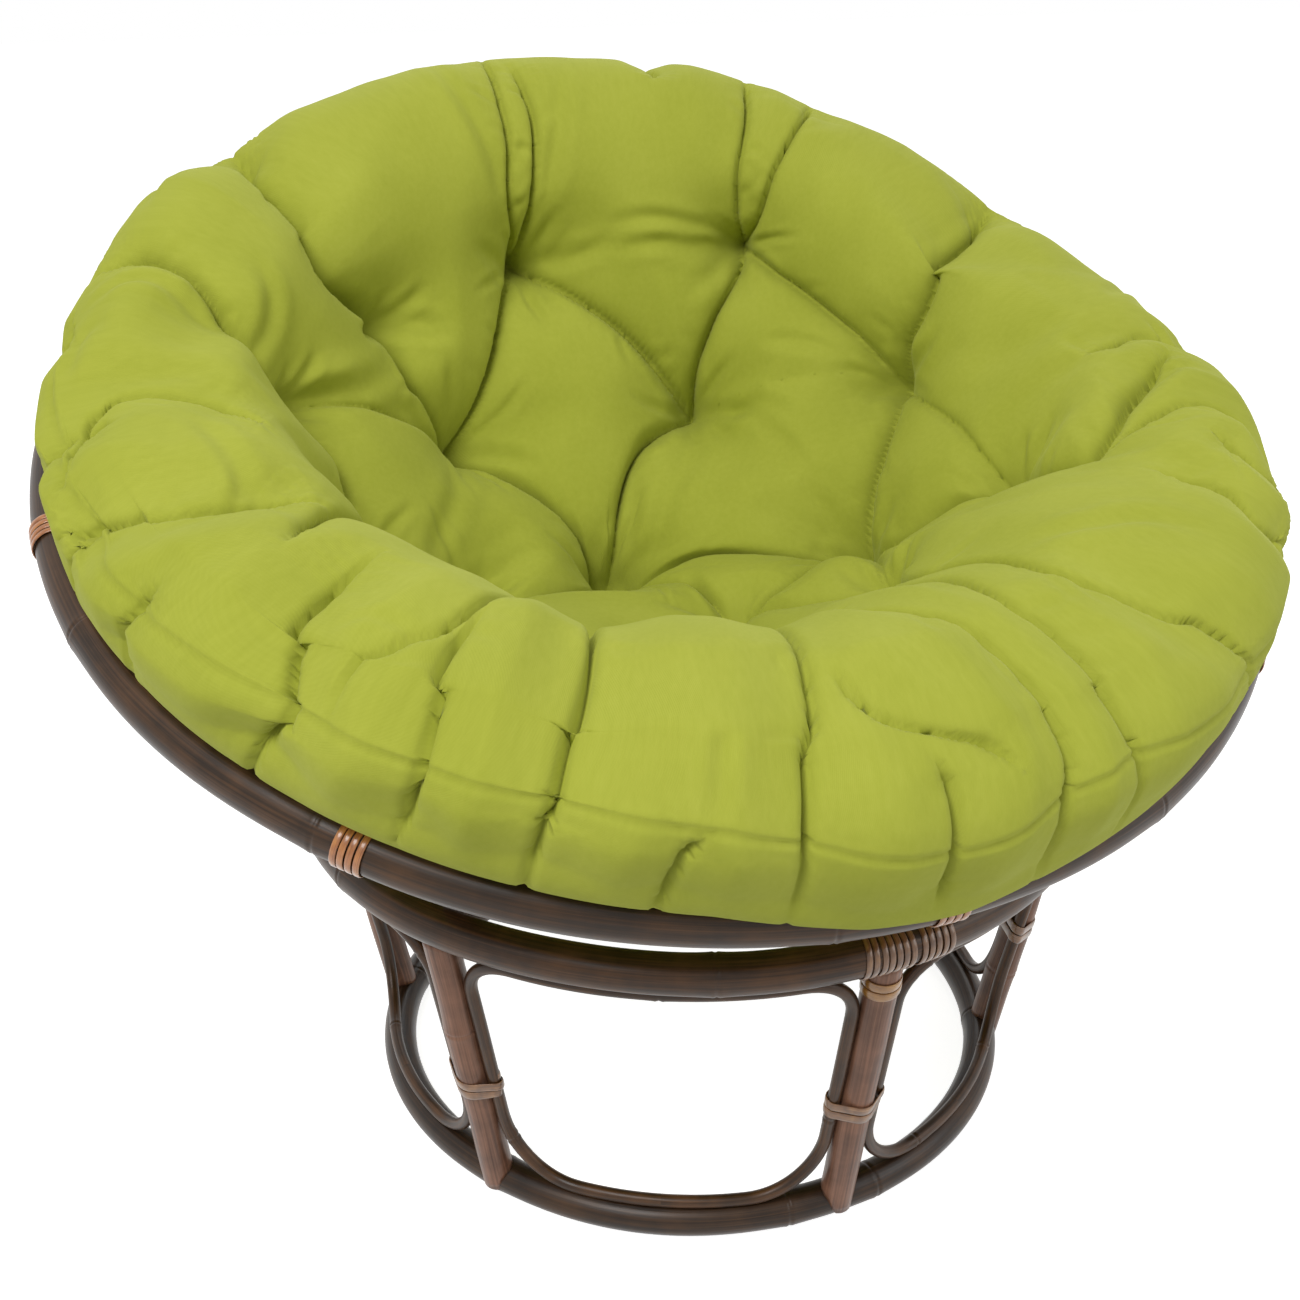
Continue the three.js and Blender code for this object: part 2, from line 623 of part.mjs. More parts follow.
// A place on the top or the side, pulled in square to the pad's face.
function topPlace(share, around) {
  const place = padPlace(share, around);
  const outward = padPlace(share + slopeStepShare, around).sub(padPlace(share - slopeStepShare, around));
  const step = slopeStepShare * turn;
  const round = padPlace(share, around + step).sub(padPlace(share, around - step));
  const normal = round.cross(outward).normalize();
  return place.addScaledVector(normal, -drawnIn(place));
}

// Under its edge the cushion laps round the rim, from the edge's own place to the inner side.
function rimLap(share, around) {
  const roll = rollAt(around);
  const edgeTurn = Math.atan2(rollRadius(roll, edgeRowShares) - rimRadius, roll.edge);
  const facing = share * (edgeTurn + rimPolar) - rimPolar;
  const height = rimClear * Math.cos(facing) - rimDrop;
  return aroundZ(rimRadius + rimClear * Math.sin(facing), roll.azimuth, height);
}

function underPlace(share, around) {
  const polar = share * rimPolar;
  return aroundZ(cushionSphere * Math.sin(polar), bowlAzimuth(around), -cushionSphere * Math.cos(polar));
}

function cushion() {
  const middle = padPlace(0, 0);
  const outOfMiddle = middle.clone().normalize();
  const rows = [
    ...topCutShares.map((share) => (around) => topPlace(share, around)),
    ...lapCutShares.map((share) => (around) => rimLap(share, around)),
    ...underCutShares.map((share) => (around) => underPlace(share, around)),
  ];
  const positions = [];
  rows.forEach((row) => {
    for (let i = 0; i < cushionFacets; i += 1) positions.push(...row((i / cushionFacets) * turn).toArray());
  });
  const topMiddle = rows.length * cushionFacets;
  positions.push(...middle.addScaledVector(outOfMiddle, drawnIn(tuftPlaces.middle)).toArray());
  positions.push(0, 0, -cushionSphere);
  const faces = [];
  for (let i = 0; i < cushionFacets; i += 1) {
    const next = (i + 1) % cushionFacets;
    faces.push(topMiddle, i, next);
    for (let row = 0; row + 1 < rows.length; row += 1) {
      const near = row * cushionFacets;
      const far = near + cushionFacets;
      faces.push(near + i, far + i, near + next, near + next, far + i, far + next);
    }
    const last = (rows.length - 1) * cushionFacets;
    faces.push(last + i, topMiddle + 1, last + next);
  }
  const geometry = new THREE.BufferGeometry();
  geometry.setAttribute('position', new THREE.Float32BufferAttribute(positions, 3));
  geometry.setIndex(faces);
  geometry.computeVertexNormals();
  return geometry;
}

// Assembly.

function add(group, name, geometry, material) {
  const mesh = new THREE.Mesh(geometry, material);
  mesh.name = name;
  group.add(mesh);
  return mesh;
}

const chair = new THREE.Group();
const base = new THREE.Group();
const bowl = new THREE.Group();
chair.add(base, bowl);

add(base, 'base_top_ring', topRing(), darkRattan).position.z = topRingHeight;
add(base, 'base_bottom_ring', bottomRing(), darkRattan);

const plainLeg = leg(seatGap);
const lashedLeg = leg(bowlSeat);
const loop = panelLoop();
const strap = legStrap();
for (let i = 0; i < legCount; i += 1) {
  const angle = firstLegAngle + (i * turn) / legCount;
  const station = new THREE.Group();
  station.rotation.z = angle;
  add(station, `leg_${i + 1}`, i === 0 ? lashedLeg : plainLeg, redRattan);
  const strapRadius = footRadius + legRun.x * strapHeightShare;
  const strapHeight = footHeight + legRun.y * strapHeightShare;
  add(station, `leg_strap_${i + 1}`, strap, brownPeel).position.set(0, -strapRadius, strapHeight);
  const panel = new THREE.Group();
  panel.rotation.z = angle + turn / legCount / 2;
  add(panel, `panel_loop_${i + 1}`, loop, darkRattan);
  base.add(station, panel);
}

// The ends of the top ring's pole meet over the first leg, under two windings and a collar.
const lashing = new THREE.Group();
lashing.rotation.z = firstLegAngle;
const lashedRing = {
  centreRadius: topRingRadius,
  pole: topRingPole,
  steps: topRingSteps,
  width: ringPeelWidth,
  startCorner: 3,
};
const ringPitch = ringPeelWidth + turnGap;
const leftFrom = legPole / 2 - ringLashingLeftTurns * ringPitch;
const rightFrom = legPole / 2 + ringPeelWidth + turnGap;
[
  ['ring_lashing_left', { ...lashedRing, turns: ringLashingLeftTurns, from: leftFrom }],
  ['ring_lashing_right', { ...lashedRing, turns: ringLashingRightTurns, from: rightFrom }],
].forEach(([name, spot]) => {
  add(lashing, name, ringWinding(name, spot), brownPeel).position.z = topRingHeight;
});
const collar = poleWinding('leg_collar', legPole, collarPeelWidth, collarTurns);
collar.rotateX(legLean);
const collarHeight = collarTurns * (collarPeelWidth + turnGap) + collarPeelWidth;
const collarDrop = topRingPole / 2 + bowlSeat + collarDropGap + collarHeight / 2;
const collarRadius = topRingRadius - collarDrop * Math.sin(legLean);
const collarPlace = add(lashing, 'leg_collar', collar, goldPeel).position;
collarPlace.set(0, -collarRadius, topRingHeight - collarDrop * Math.cos(legLean));
base.add(lashing);

bowl.position.z = bowlCentreHeight;
bowl.rotation.x = restTilt;
add(bowl, 'bowl_rim', rim(), darkRattan);
add(bowl, 'bowl_bottom_ring', bowlRing(), darkRattan);
const ribShape = rib();
const bindingShape = rimBinding();
for (let i = 0; i < ribCount; i += 1) {
  const station = new THREE.Group();
  station.rotation.z = firstRibAngle + (i * turn) / ribCount;
  add(station, `rib_${i + 1}`, ribShape, redRattan);
  add(station, `rim_binding_${i + 1}`, bindingShape, brownPeel);
  bowl.add(station);
}
add(bowl, 'cushion', cushion(), limeTwill);

// The origin goes under the middle of the chair's box.
chair.updateMatrixWorld(true);
const box = new THREE.Box3().setFromObject(chair, true);
const middle = box.getCenter(new THREE.Vector3());
chair.position.set(-middle.x, -middle.y, -box.min.z);

console.log('least gap of each winding to itself:', windingGaps.join(', '));
const tiltCentre = bowl.getWorldPosition(new THREE.Vector3());
const size = box.getSize(new THREE.Vector3());
console.log('bowl tilts about', tiltCentre.toArray().map((value) => value.toFixed(3)).join(' '));
console.log(`rest tilt ${(restTilt / degree).toFixed(3)} of ${(tiltStop / degree).toFixed(3)} degrees`);
console.log('box', size.toArray().map((value) => value.toFixed(1)).join(' '));

export default chair;
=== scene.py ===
import bpy
import numpy as np
from mathutils import Matrix


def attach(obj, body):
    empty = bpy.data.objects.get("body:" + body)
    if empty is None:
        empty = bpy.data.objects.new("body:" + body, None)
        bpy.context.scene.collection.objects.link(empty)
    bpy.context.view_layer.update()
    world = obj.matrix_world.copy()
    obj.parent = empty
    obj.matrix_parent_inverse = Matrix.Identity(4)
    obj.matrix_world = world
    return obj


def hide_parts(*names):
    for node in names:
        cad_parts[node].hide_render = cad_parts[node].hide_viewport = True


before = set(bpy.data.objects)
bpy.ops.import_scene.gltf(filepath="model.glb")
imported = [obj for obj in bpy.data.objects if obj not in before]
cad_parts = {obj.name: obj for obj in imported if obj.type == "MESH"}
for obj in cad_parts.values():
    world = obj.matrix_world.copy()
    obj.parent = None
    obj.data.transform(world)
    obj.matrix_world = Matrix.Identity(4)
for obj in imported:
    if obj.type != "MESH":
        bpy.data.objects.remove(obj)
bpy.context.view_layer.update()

# Papasan chair: a round tufted cushion in a tilted rattan bowl on a rattan stand.
# Lengths are in millimetres and angles in degrees until they go into a mesh.
mm = 0.001
degree = np.pi / 180
turn = 2 * np.pi

# The base turns about the line x = 0, y = baseAxis. The bowl is drawn level, round the centre of
# its own sphere, and then tilted.
baseAxis = -39.134
bowl = {"centreHeight": 758.423, "tilt": 19.64, "rimAngle": 69.0}
baseCentre = np.array([0, baseAxis, 0])
bowlCentre = np.array([0, baseAxis, bowl["centreHeight"]])


def unit(vectors):
    return vectors / np.maximum(np.linalg.norm(vectors, axis=-1, keepdims=True), 1e-9)


def aroundZ(radius, angle, height):  # angle in radians from the front, towards the chair's left
    return np.stack(np.broadcast_arrays(radius * np.sin(angle), -radius * np.cos(angle), height), -1)


def turnX(vectors, degrees):  # tips vectors about the chair's side-to-side line
    c, s = np.cos(degrees * degree), np.sin(degrees * degree)
    return vectors @ np.array([[1, 0, 0], [0, c, s], [0, -s, c]])


def inBase(points):
    return points + baseCentre


def inBowl(points):
    return turnX(points, bowl["tilt"]) + bowlCentre


# A skin is a grid of points, closed round each row. Rows follow each other along the piece, and
# either the last joins the first or a fan of triangles closes each end.
def skin(name, rows, body, material, closed=False, alongMm=None, roundMm=None, depth=None):
    count, around = rows.shape[:2]
    steps = count if closed else count - 1
    i, j = [index.ravel() for index in np.meshgrid(np.arange(steps), np.arange(around), indexing="ij")]
    nextJ, nextI = (j + 1) % around, (i + 1) % count
    faces = np.stack([i * around + j, i * around + nextJ, nextI * around + nextJ, nextI * around + j], -1)
    lines = np.stack([i, i, i + 1, i + 1], -1)
    places = np.stack([j, nextJ, nextJ, j], -1)
    points = rows.reshape(-1, 3)
    fans = np.zeros((0, 3), int)
    if not closed:
        points = np.vstack([points, rows[0].mean(0), rows[-1].mean(0)])
        k, last = np.arange(around), (count - 1) * around
        fans = np.vstack([
            np.stack([(k + 1) % around, k, np.full(around, count * around)], -1),
            np.stack([last + k, last + (k + 1) % around, np.full(around, count * around + 1)], -1)])
    corners = points[faces]
    volume = np.einsum("ij,ij->i", corners[:, 0], np.cross(corners[:, 1], corners[:, 2])).sum()
    volume += np.einsum("ij,ij->i", corners[:, 0], np.cross(corners[:, 2], corners[:, 3])).sum()
    if volume < 0:  # the grid runs the other way, so its faces are turned to point outwards
        faces, lines, places, fans = faces[:, ::-1], lines[:, ::-1], places[:, ::-1], fans[:, ::-1]
    mesh = bpy.data.meshes.new(name)
    mesh.vertices.add(len(points))
    mesh.vertices.foreach_set("co", (points * mm).ravel())
    sides = 4 if depth is None else 3
    if depth is not None:  # each square is cut along its deeper diagonal, so a slit stays one clean line
        flip = depth[faces[:, 1]] + depth[faces[:, 3]] > depth[faces[:, 0]] + depth[faces[:, 2]]
        faces = np.where(flip[:, None], np.roll(faces, -1, 1), faces)
        faces = np.vstack([faces[:, [0, 1, 2]], faces[:, [0, 2, 3]]])
    loops = np.concatenate([faces.ravel(), fans.ravel()])
    mesh.loops.add(len(loops))
    mesh.loops.foreach_set("vertex_index", loops)
    starts = np.concatenate([np.arange(len(faces)) * sides, faces.size + np.arange(len(fans)) * 3])
    mesh.polygons.add(len(starts))
    mesh.polygons.foreach_set("loop_start", starts)
    mesh.update(calc_edges=True)
    mesh.polygons.foreach_set("use_smooth", np.ones(len(starts), bool))
    if alongMm is not None:
        # "grain" holds, at each corner, how far along the piece it is and where it is in the section.
        grain = np.zeros((len(loops), 3))
        grain[: faces.size, 0] = alongMm[lines.ravel()]
        grain[: faces.size, 1:] = roundMm[places.ravel()]
        fanRows = np.where(fans.ravel() // around < count - 1, 0, count - 1)
        grain[faces.size:, 0] = alongMm[fanRows]
        grain[faces.size:, 1:] = roundMm[fans.ravel() % around] * (fans.ravel() < count * around)[:, None]
        attribute = mesh.attributes.new("grain", "FLOAT_VECTOR", "CORNER")
        attribute.data.foreach_set("vector", (grain * mm).ravel())
    mesh.materials.append(material)
    piece = bpy.data.objects.new(name, mesh)
    bpy.context.scene.collection.objects.link(piece)
    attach(piece, body)
    return piece


def linear(code):
    level = np.array([int(code[k:k + 2], 16) for k in (1, 3, 5)]) / 255
    return (*np.where(level <= 0.04045, level / 12.92, ((level + 0.055) / 1.055) ** 2.4), 1)


def addNode(tree, kind, settings=None, **inputs):
    node = tree.nodes.new(kind)
    for key, value in (settings or {}).items():
        setattr(node, key, value)
    for key, value in inputs.items():
        numbered = key[0] == "i" and key[1:].isdigit()  # i0 and i1 name sockets by their place
        socket = node.inputs[int(key[1:]) if numbered else key.replace("_", " ")]
        if isinstance(value, bpy.types.NodeSocket):
            tree.links.new(value, socket)
        else:
            socket.default_value = value
    return node


def newMaterial(name, **uniform):
    material = bpy.data.materials.new(name)
    material.use_nodes = True
    material.node_tree.nodes.clear()
    shader = addNode(material.node_tree, "ShaderNodeBsdfPrincipled", None, **uniform)
    addNode(material.node_tree, "ShaderNodeOutputMaterial", None, Surface=shader.outputs[0])
    return material.node_tree, shader, material


def ramp(tree, factor, stops):
    node = addNode(tree, "ShaderNodeValToRGB", None, Fac=factor)
    elements = node.color_ramp.elements
    while len(elements) < len(stops):
        elements.new(0.5)
    for element, (position, code) in zip(elements, stops):
        element.position, element.color = position, linear(code)
    return node.outputs["Color"]


# Rattan pole, stained walnut and varnished: a dark brown hide with fine lighter streaks that run
# along the pole, soft blotches where the stain took, and the broken highlight of a brushed varnish.
def stainedRattan(name, colours, streakMm=0.9, streakLengthMm=55, blotchMm=38):
    tree, shader, material = newMaterial(name, Roughness=0.4, IOR=1.5, Specular_IOR_Level=0.26,
                                         Coat_Weight=0.08, Coat_Roughness=0.2)
    grain = addNode(tree, "ShaderNodeAttribute", {"attribute_name": "grain"}).outputs["Vector"]
    stretched = addNode(tree, "ShaderNodeMapping", None, Vector=grain,
                        Scale=(1 / (streakLengthMm * mm), 1 / (streakMm * mm), 1 / (streakMm * mm)))
    streak = addNode(tree, "ShaderNodeTexNoise", None, Vector=stretched.outputs[0], Scale=0.45, Detail=3.0,
                     Roughness=0.6).outputs["Fac"]
    blotch = addNode(tree, "ShaderNodeTexNoise", None, Vector=grain, Scale=1 / (blotchMm * mm), Detail=3.0,
                     Roughness=0.55).outputs["Fac"]
    stain = addNode(tree, "ShaderNodeMath", {"operation": "MULTIPLY"}, i0=streak, i1=0.62)
    stain = addNode(tree, "ShaderNodeMath", {"operation": "MULTIPLY_ADD"}, i0=blotch, i1=0.5, i2=stain.outputs[0])
    tree.links.new(ramp(tree, stain.outputs[0], colours), shader.inputs["Base Color"])
    rough = addNode(tree, "ShaderNodeMapRange", None, Value=blotch, To_Min=0.26, To_Max=0.5)
    tree.links.new(rough.outputs[0], shader.inputs["Roughness"])
    bump = addNode(tree, "ShaderNodeBump", None, Height=streak, Strength=0.35, Distance=0.0005)
    tree.links.new(bump.outputs[0], shader.inputs["Normal"])
    return material


# Rattan peel, the flat outer skin of the cane, split, stained and varnished: long fibres and a glassy
# face that catches the light.
def varnishedPeel(name, colours, fibreMm=0.35, fibreLengthMm=24, patchMm=9):
    tree, shader, material = newMaterial(name, Roughness=0.3, IOR=1.5, Coat_Weight=0.5, Coat_Roughness=0.12)
    grain = addNode(tree, "ShaderNodeAttribute", {"attribute_name": "grain"}).outputs["Vector"]
    stretched = addNode(tree, "ShaderNodeMapping", None, Vector=grain,
                        Scale=(1 / (fibreLengthMm * mm), 1 / (fibreMm * mm), 1 / (fibreMm * mm)))
    fibre = addNode(tree, "ShaderNodeTexNoise", None, Vector=stretched.outputs[0], Scale=0.5, Detail=2.0,
                    Roughness=0.6).outputs["Fac"]
    patch = addNode(tree, "ShaderNodeTexNoise", None, Vector=grain, Scale=1 / (patchMm * mm), Detail=2.0,
                    Roughness=0.5).outputs["Fac"]
    stain = addNode(tree, "ShaderNodeMath", {"operation": "MULTIPLY"}, i0=fibre, i1=0.5)
    stain = addNode(tree, "ShaderNodeMath", {"operation": "MULTIPLY_ADD"}, i0=patch, i1=0.55, i2=stain.outputs[0])
    tree.links.new(ramp(tree, stain.outputs[0], colours), shader.inputs["Base Color"])
    bump = addNode(tree, "ShaderNodeBump", None, Height=fibre, Strength=0.3, Distance=0.0003)
    tree.links.new(bump.outputs[0], shader.inputs["Normal"])
    return material


# Cotton twill, dyed lime, matt: fine slanting ribs, a soft sheen of loose fibre at grazing angles,
# and slight unevenness of the dye.
def dyedTwill(name, ribMm=1.3, slubMm=7, dyeMm=120):  # ribs are 0.6 mm in the real cloth, drawn coarser to show
    tree, shader, material = newMaterial(name, Roughness=0.88, IOR=1.45, Sheen_Weight=0.18, Sheen_Roughness=0.45)
    shader.inputs["Sheen Tint"].default_value = linear("#dfe69a")
    shader.inputs["Specular IOR Level"].default_value = 0.25
    cloth = addNode(tree, "ShaderNodeAttribute", {"attribute_name": "cloth"}).outputs["Vector"]
    slanted = addNode(tree, "ShaderNodeMapping", None, Vector=cloth, Rotation=(0, 0, 63 * degree))
    rib = addNode(tree, "ShaderNodeTexWave", {"wave_type": "BANDS", "bands_direction": "X"},
                  Vector=slanted.outputs[0], Scale=0.314 / (ribMm * mm), Distortion=0.6, Detail=1.0,
                  Detail_Scale=1.5).outputs["Fac"]
    slub = addNode(tree, "ShaderNodeTexNoise", None, Vector=cloth, Scale=1 / (slubMm * mm), Detail=4.0,
                   Roughness=0.65).outputs["Fac"]
    dye = addNode(tree, "ShaderNodeTexNoise", None, Vector=cloth, Scale=1 / (dyeMm * mm), Detail=2.0).outputs["Fac"]
    shade = addNode(tree, "ShaderNodeMath", {"operation": "MULTIPLY"}, i0=slub, i1=0.35)
    shade = addNode(tree, "ShaderNodeMath", {"operation": "MULTIPLY_ADD"}, i0=dye, i1=0.5, i2=shade.outputs[0])
    shade = addNode(tree, "ShaderNodeMath", {"operation": "MULTIPLY_ADD"}, i0=rib, i1=0.04, i2=shade.outputs[0])
    colour = ramp(tree, shade.outputs[0], [(0.2, "#989f32"), (0.5, "#a5ab3e"), (0.8, "#b0b54a")])
    tree.links.new(colour, shader.inputs["Base Color"])
    height = addNode(tree, "ShaderNodeMath", {"operation": "MULTIPLY_ADD"}, i0=slub, i1=0.8, i2=rib)
    bump = addNode(tree, "ShaderNodeBump", None, Height=height.outputs[0], Strength=0.14, Distance=0.0004)
    tree.links.new(bump.outputs[0], shader.inputs["Normal"])
    return material


darkRattan = stainedRattan("rattan pole, stained dark walnut",
                           [(0.3, "#180f08"), (0.5, "#2f2013"), (0.72, "#503620")])
walnutRattan = stainedRattan("rattan pole, stained walnut",
                             [(0.3, "#1b110a"), (0.5, "#362415"), (0.72, "#5b3d24")])
blackRattan = stainedRattan("rattan pole, stained black walnut",
                            [(0.3, "#150d07"), (0.5, "#2a1c11"), (0.72, "#48311d")])
redRattan = stainedRattan("rattan pole, stained red walnut",
                          [(0.3, "#3a251a"), (0.5, "#684837"), (0.72, "#916852")])
brownPeel = varnishedPeel("rattan peel, stained brown", [(0.3, "#4b2f1b"), (0.52, "#79512d"), (0.75, "#a57748")])
amberPeel = varnishedPeel("rattan peel, amber varnish", [(0.3, "#6a3a17"), (0.52, "#a5652f"), (0.75, "#c98a4a")])
goldPeel = varnishedPeel("rattan peel, natural varnish", [(0.3, "#6e4718"), (0.52, "#9a692b"), (0.75, "#c08e47")])
limeTwill = dyedTwill("cotton twill, dyed lime")
print("materials made")


# A pole swells a little at each of its joints, where a leaf grew, and has a fine lip and groove
# there. Between joints it wanders slightly.
cane = {"jointEvery": (230, 350), "swell": 0.035, "swellReach": 13, "lip": 0.35, "groove": 0.5,
        "uneven": (0.012, 0.008), "wander": 0.5, "station": 7, "sides": 28}
loopCane = {**cane, "wander": 0.2, "station": 5, "sides": 18}


# A pole follows place, which gives the middle and two ways across for a length along it.
def pole(name, place, length, radius, seed, body, material, closed=False, cope=None, form=cane):
    dice = np.random.default_rng(seed)
    joints = np.cumsum(dice.uniform(*form["jointEvery"], 16)) - dice.uniform(60, 230)
    joints = joints[(joints > 22) & (joints < length - (40 if closed else 22))]
    # Its rows are close together at each joint and evenly spaced between them.
    near = (joints[:, None] + np.array([-24, -14, -8, -4.5, -2.6, -1.3, 0, 1.3, 2.6, 4.5, 8, 14, 24])).ravel()
    along = np.linspace(0, length, int(length / form["station"]) + 1)
    along = along[np.all(np.abs(along[:, None] - joints) > 26, 1)] if len(joints) else along
    along = np.unique(np.concatenate([along, near[(near > 1) & (near < length - 1)]]))
    if closed:
        along = along[along < length - 1]
    off = along[:, None] - joints
    size = radius * (1 + form["swell"] * np.exp(-(off / form["swellReach"]) ** 2).sum(1))
    size += (form["lip"] * np.exp(-((np.abs(off) - 2.8) / 1.5) ** 2)).sum(1)
    size -= (form["groove"] * np.exp(-(off / 1.1) ** 2)).sum(1)
    phase = dice.uniform(0, turn, 4)
    waves = np.round(np.array([2, 3]) * length / 900 + 1) * turn / length
    wander = form["wander"] * np.stack([np.sin(along * waves[0] + phase[0]), np.sin(along * waves[1] + phase[1])], -1)
    angles = np.arange(form["sides"]) / form["sides"] * turn
    circle = np.stack([np.cos(angles), np.sin(angles)], -1)
    oval, threeSided = form["uneven"]
    uneven = 1 + oval * np.sin(2 * angles + phase[2])[None] + threeSided * np.sin(3 * angles + phase[3])[None]

    def at(spots):  # spots (rows, sides): how far along the pole each point is
        middle, out, side = place(spots)
        reach = np.interp(spots, along, size) * uneven
        bend = [np.interp(spots, along, wander[:, k])[..., None] for k in (0, 1)]
        if not closed:
            fade = np.sin(np.clip(spots / length, 0, 1) * np.pi)[..., None]
            bend = [b * fade for b in bend]
        return (middle + bend[0] * out + bend[1] * side
                + reach[..., None] * (circle[:, 0, None] * out + circle[:, 1, None] * side))

    spots = np.repeat(along[:, None], len(angles), 1)
    if cope:
        # Each long line of the pole ends where it meets the pole that it is fitted against.
        fine = np.linspace(-0.02, 1.02, 400) * length
        lines = at(np.repeat(fine[:, None], len(angles), 1))
        clear = cope(lines) > 0
        half = len(fine) // 2
        start = fine[half - 1 - np.argmin(clear[half - 1::-1], 0)]
        start = np.where(clear[:half].all(0), 0, start)
        stop = fine[half + np.argmin(clear[half:], 0)]
        stop = np.where(clear[half:].all(0), length, stop)
        reach = 3.2 * radius
        spots = spots + start * np.clip(1 - spots / reach, 0, 1)
        spots = spots - (length - stop) * np.clip(1 - (length - spots) / reach, 0, 1)
    # The seed also moves the grain along, so no two poles are cut from the same cane.
    grainAlong = np.append(along, length) + 977.0 * seed
    return skin(name, at(spots), body, material, closed, grainAlong, circle * radius)


def ringPlace(radius, height, where, startAngle=0):
    def place(spots):
        angle = startAngle * degree + spots / radius
        origin = where(np.zeros(3))
        up = where(np.array([0, 0, 1.0])) - origin + 0 * spots[..., None]
        return where(aroundZ(radius, angle, height)), where(aroundZ(1, angle, 0)) - origin, up
    return place


def toRing(points, radius, height, tube):  # how far points of a level frame are from a ring's surface
    flat = np.hypot(points[..., 0], points[..., 1])
    return np.hypot(flat - radius, points[..., 2] - height) - tube


# Radii, heights and angles of the stand and of the bowl's poles. Pole sizes are radii too.
stand = {"topRadius": 343, "topPole": 16, "topHeight": 303, "bottomRadius": 284.5, "bottomPole": 15,
         "bottomHeight": 14.4, "legs": 6, "legPole": 14, "firstLeg": 4.8, "footRadius": 288.5, "footHeight": 12,
         "loopRod": 5.5, "topCorner": 42, "bottomCorner": 66, "gap": 0.3}
basket = {"rimRadius": 515.5, "rimPole": 18, "rimHeight": -198.3, "ringRadius": 150, "ringPole": 12,
          "ringHeight": -519.1, "ribs": 8, "ribPole": 12, "ribSphere": 540.3, "ribStart": 16.8, "firstRib": 5.9,
          "ribSlack": 0.4}  # the slack keeps the ribs' joints off the base's lashings when the bowl tilts

place = ringPlace(stand["topRadius"], stand["topHeight"], inBase, stand["firstLeg"])
baseTopRing = pole("baseTopRing", place, turn * stand["topRadius"], stand["topPole"], 1, "base",
                   walnutRattan, closed=True)
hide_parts("base_top_ring")

# The bottom ring is sanded flat where it stands on the floor.
place = ringPlace(stand["bottomRadius"], stand["bottomHeight"], inBase, stand["firstLeg"])
bottomRing = pole("baseBottomRing", place, turn * stand["bottomRadius"], stand["bottomPole"], 2, "base",
                  blackRattan, closed=True)
spots = np.zeros(len(bottomRing.data.vertices) * 3)
bottomRing.data.vertices.foreach_get("co", spots)
spots[2::3] = np.maximum(spots[2::3], 0)
bottomRing.data.vertices.foreach_set("co", spots)
bottomRing.data.update()
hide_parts("base_bottom_ring")


def legPlace(azimuth):
    azimuth = azimuth * degree
    foot = aroundZ(stand["footRadius"], azimuth, stand["footHeight"])
    head = aroundZ(stand["topRadius"], azimuth, stand["topHeight"])
    way, length = unit(head - foot), np.linalg.norm(head - foot)
    side = aroundZ(1, azimuth + turn / 4, 0)
    out = np.cross(side, way)

    def place(spots):
        return inBase(foot + spots[..., None] * way), out + 0 * spots[..., None], side + 0 * spots[..., None]
    return place, length


def legCope(points):
    level = points - baseCentre
    return np.minimum(toRing(level, stand["topRadius"], stand["topHeight"], stand["topPole"] + stand["gap"]),
                      toRing(level, stand["bottomRadius"], stand["bottomHeight"], stand["bottomPole"] + stand["gap"]))


for k in range(stand["legs"]):
    place, length = legPlace(stand["firstLeg"] + 60 * k)
    name = f"leg{k + 1}"
    piece = pole(name, place, length, stand["legPole"], 10 + k, "base", redRattan, cope=legCope)
    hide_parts(f"leg_{k + 1}")
print("rings and legs made")


# A panel loop is drawn flat as a rounded trapezium and wrapped on the cone between the rings.
coneRun = np.array([stand["topRadius"] - stand["bottomRadius"], stand["topHeight"] - stand["bottomHeight"]])
coneLength = np.linalg.norm(coneRun)
coneLean = np.arctan2(*coneRun)


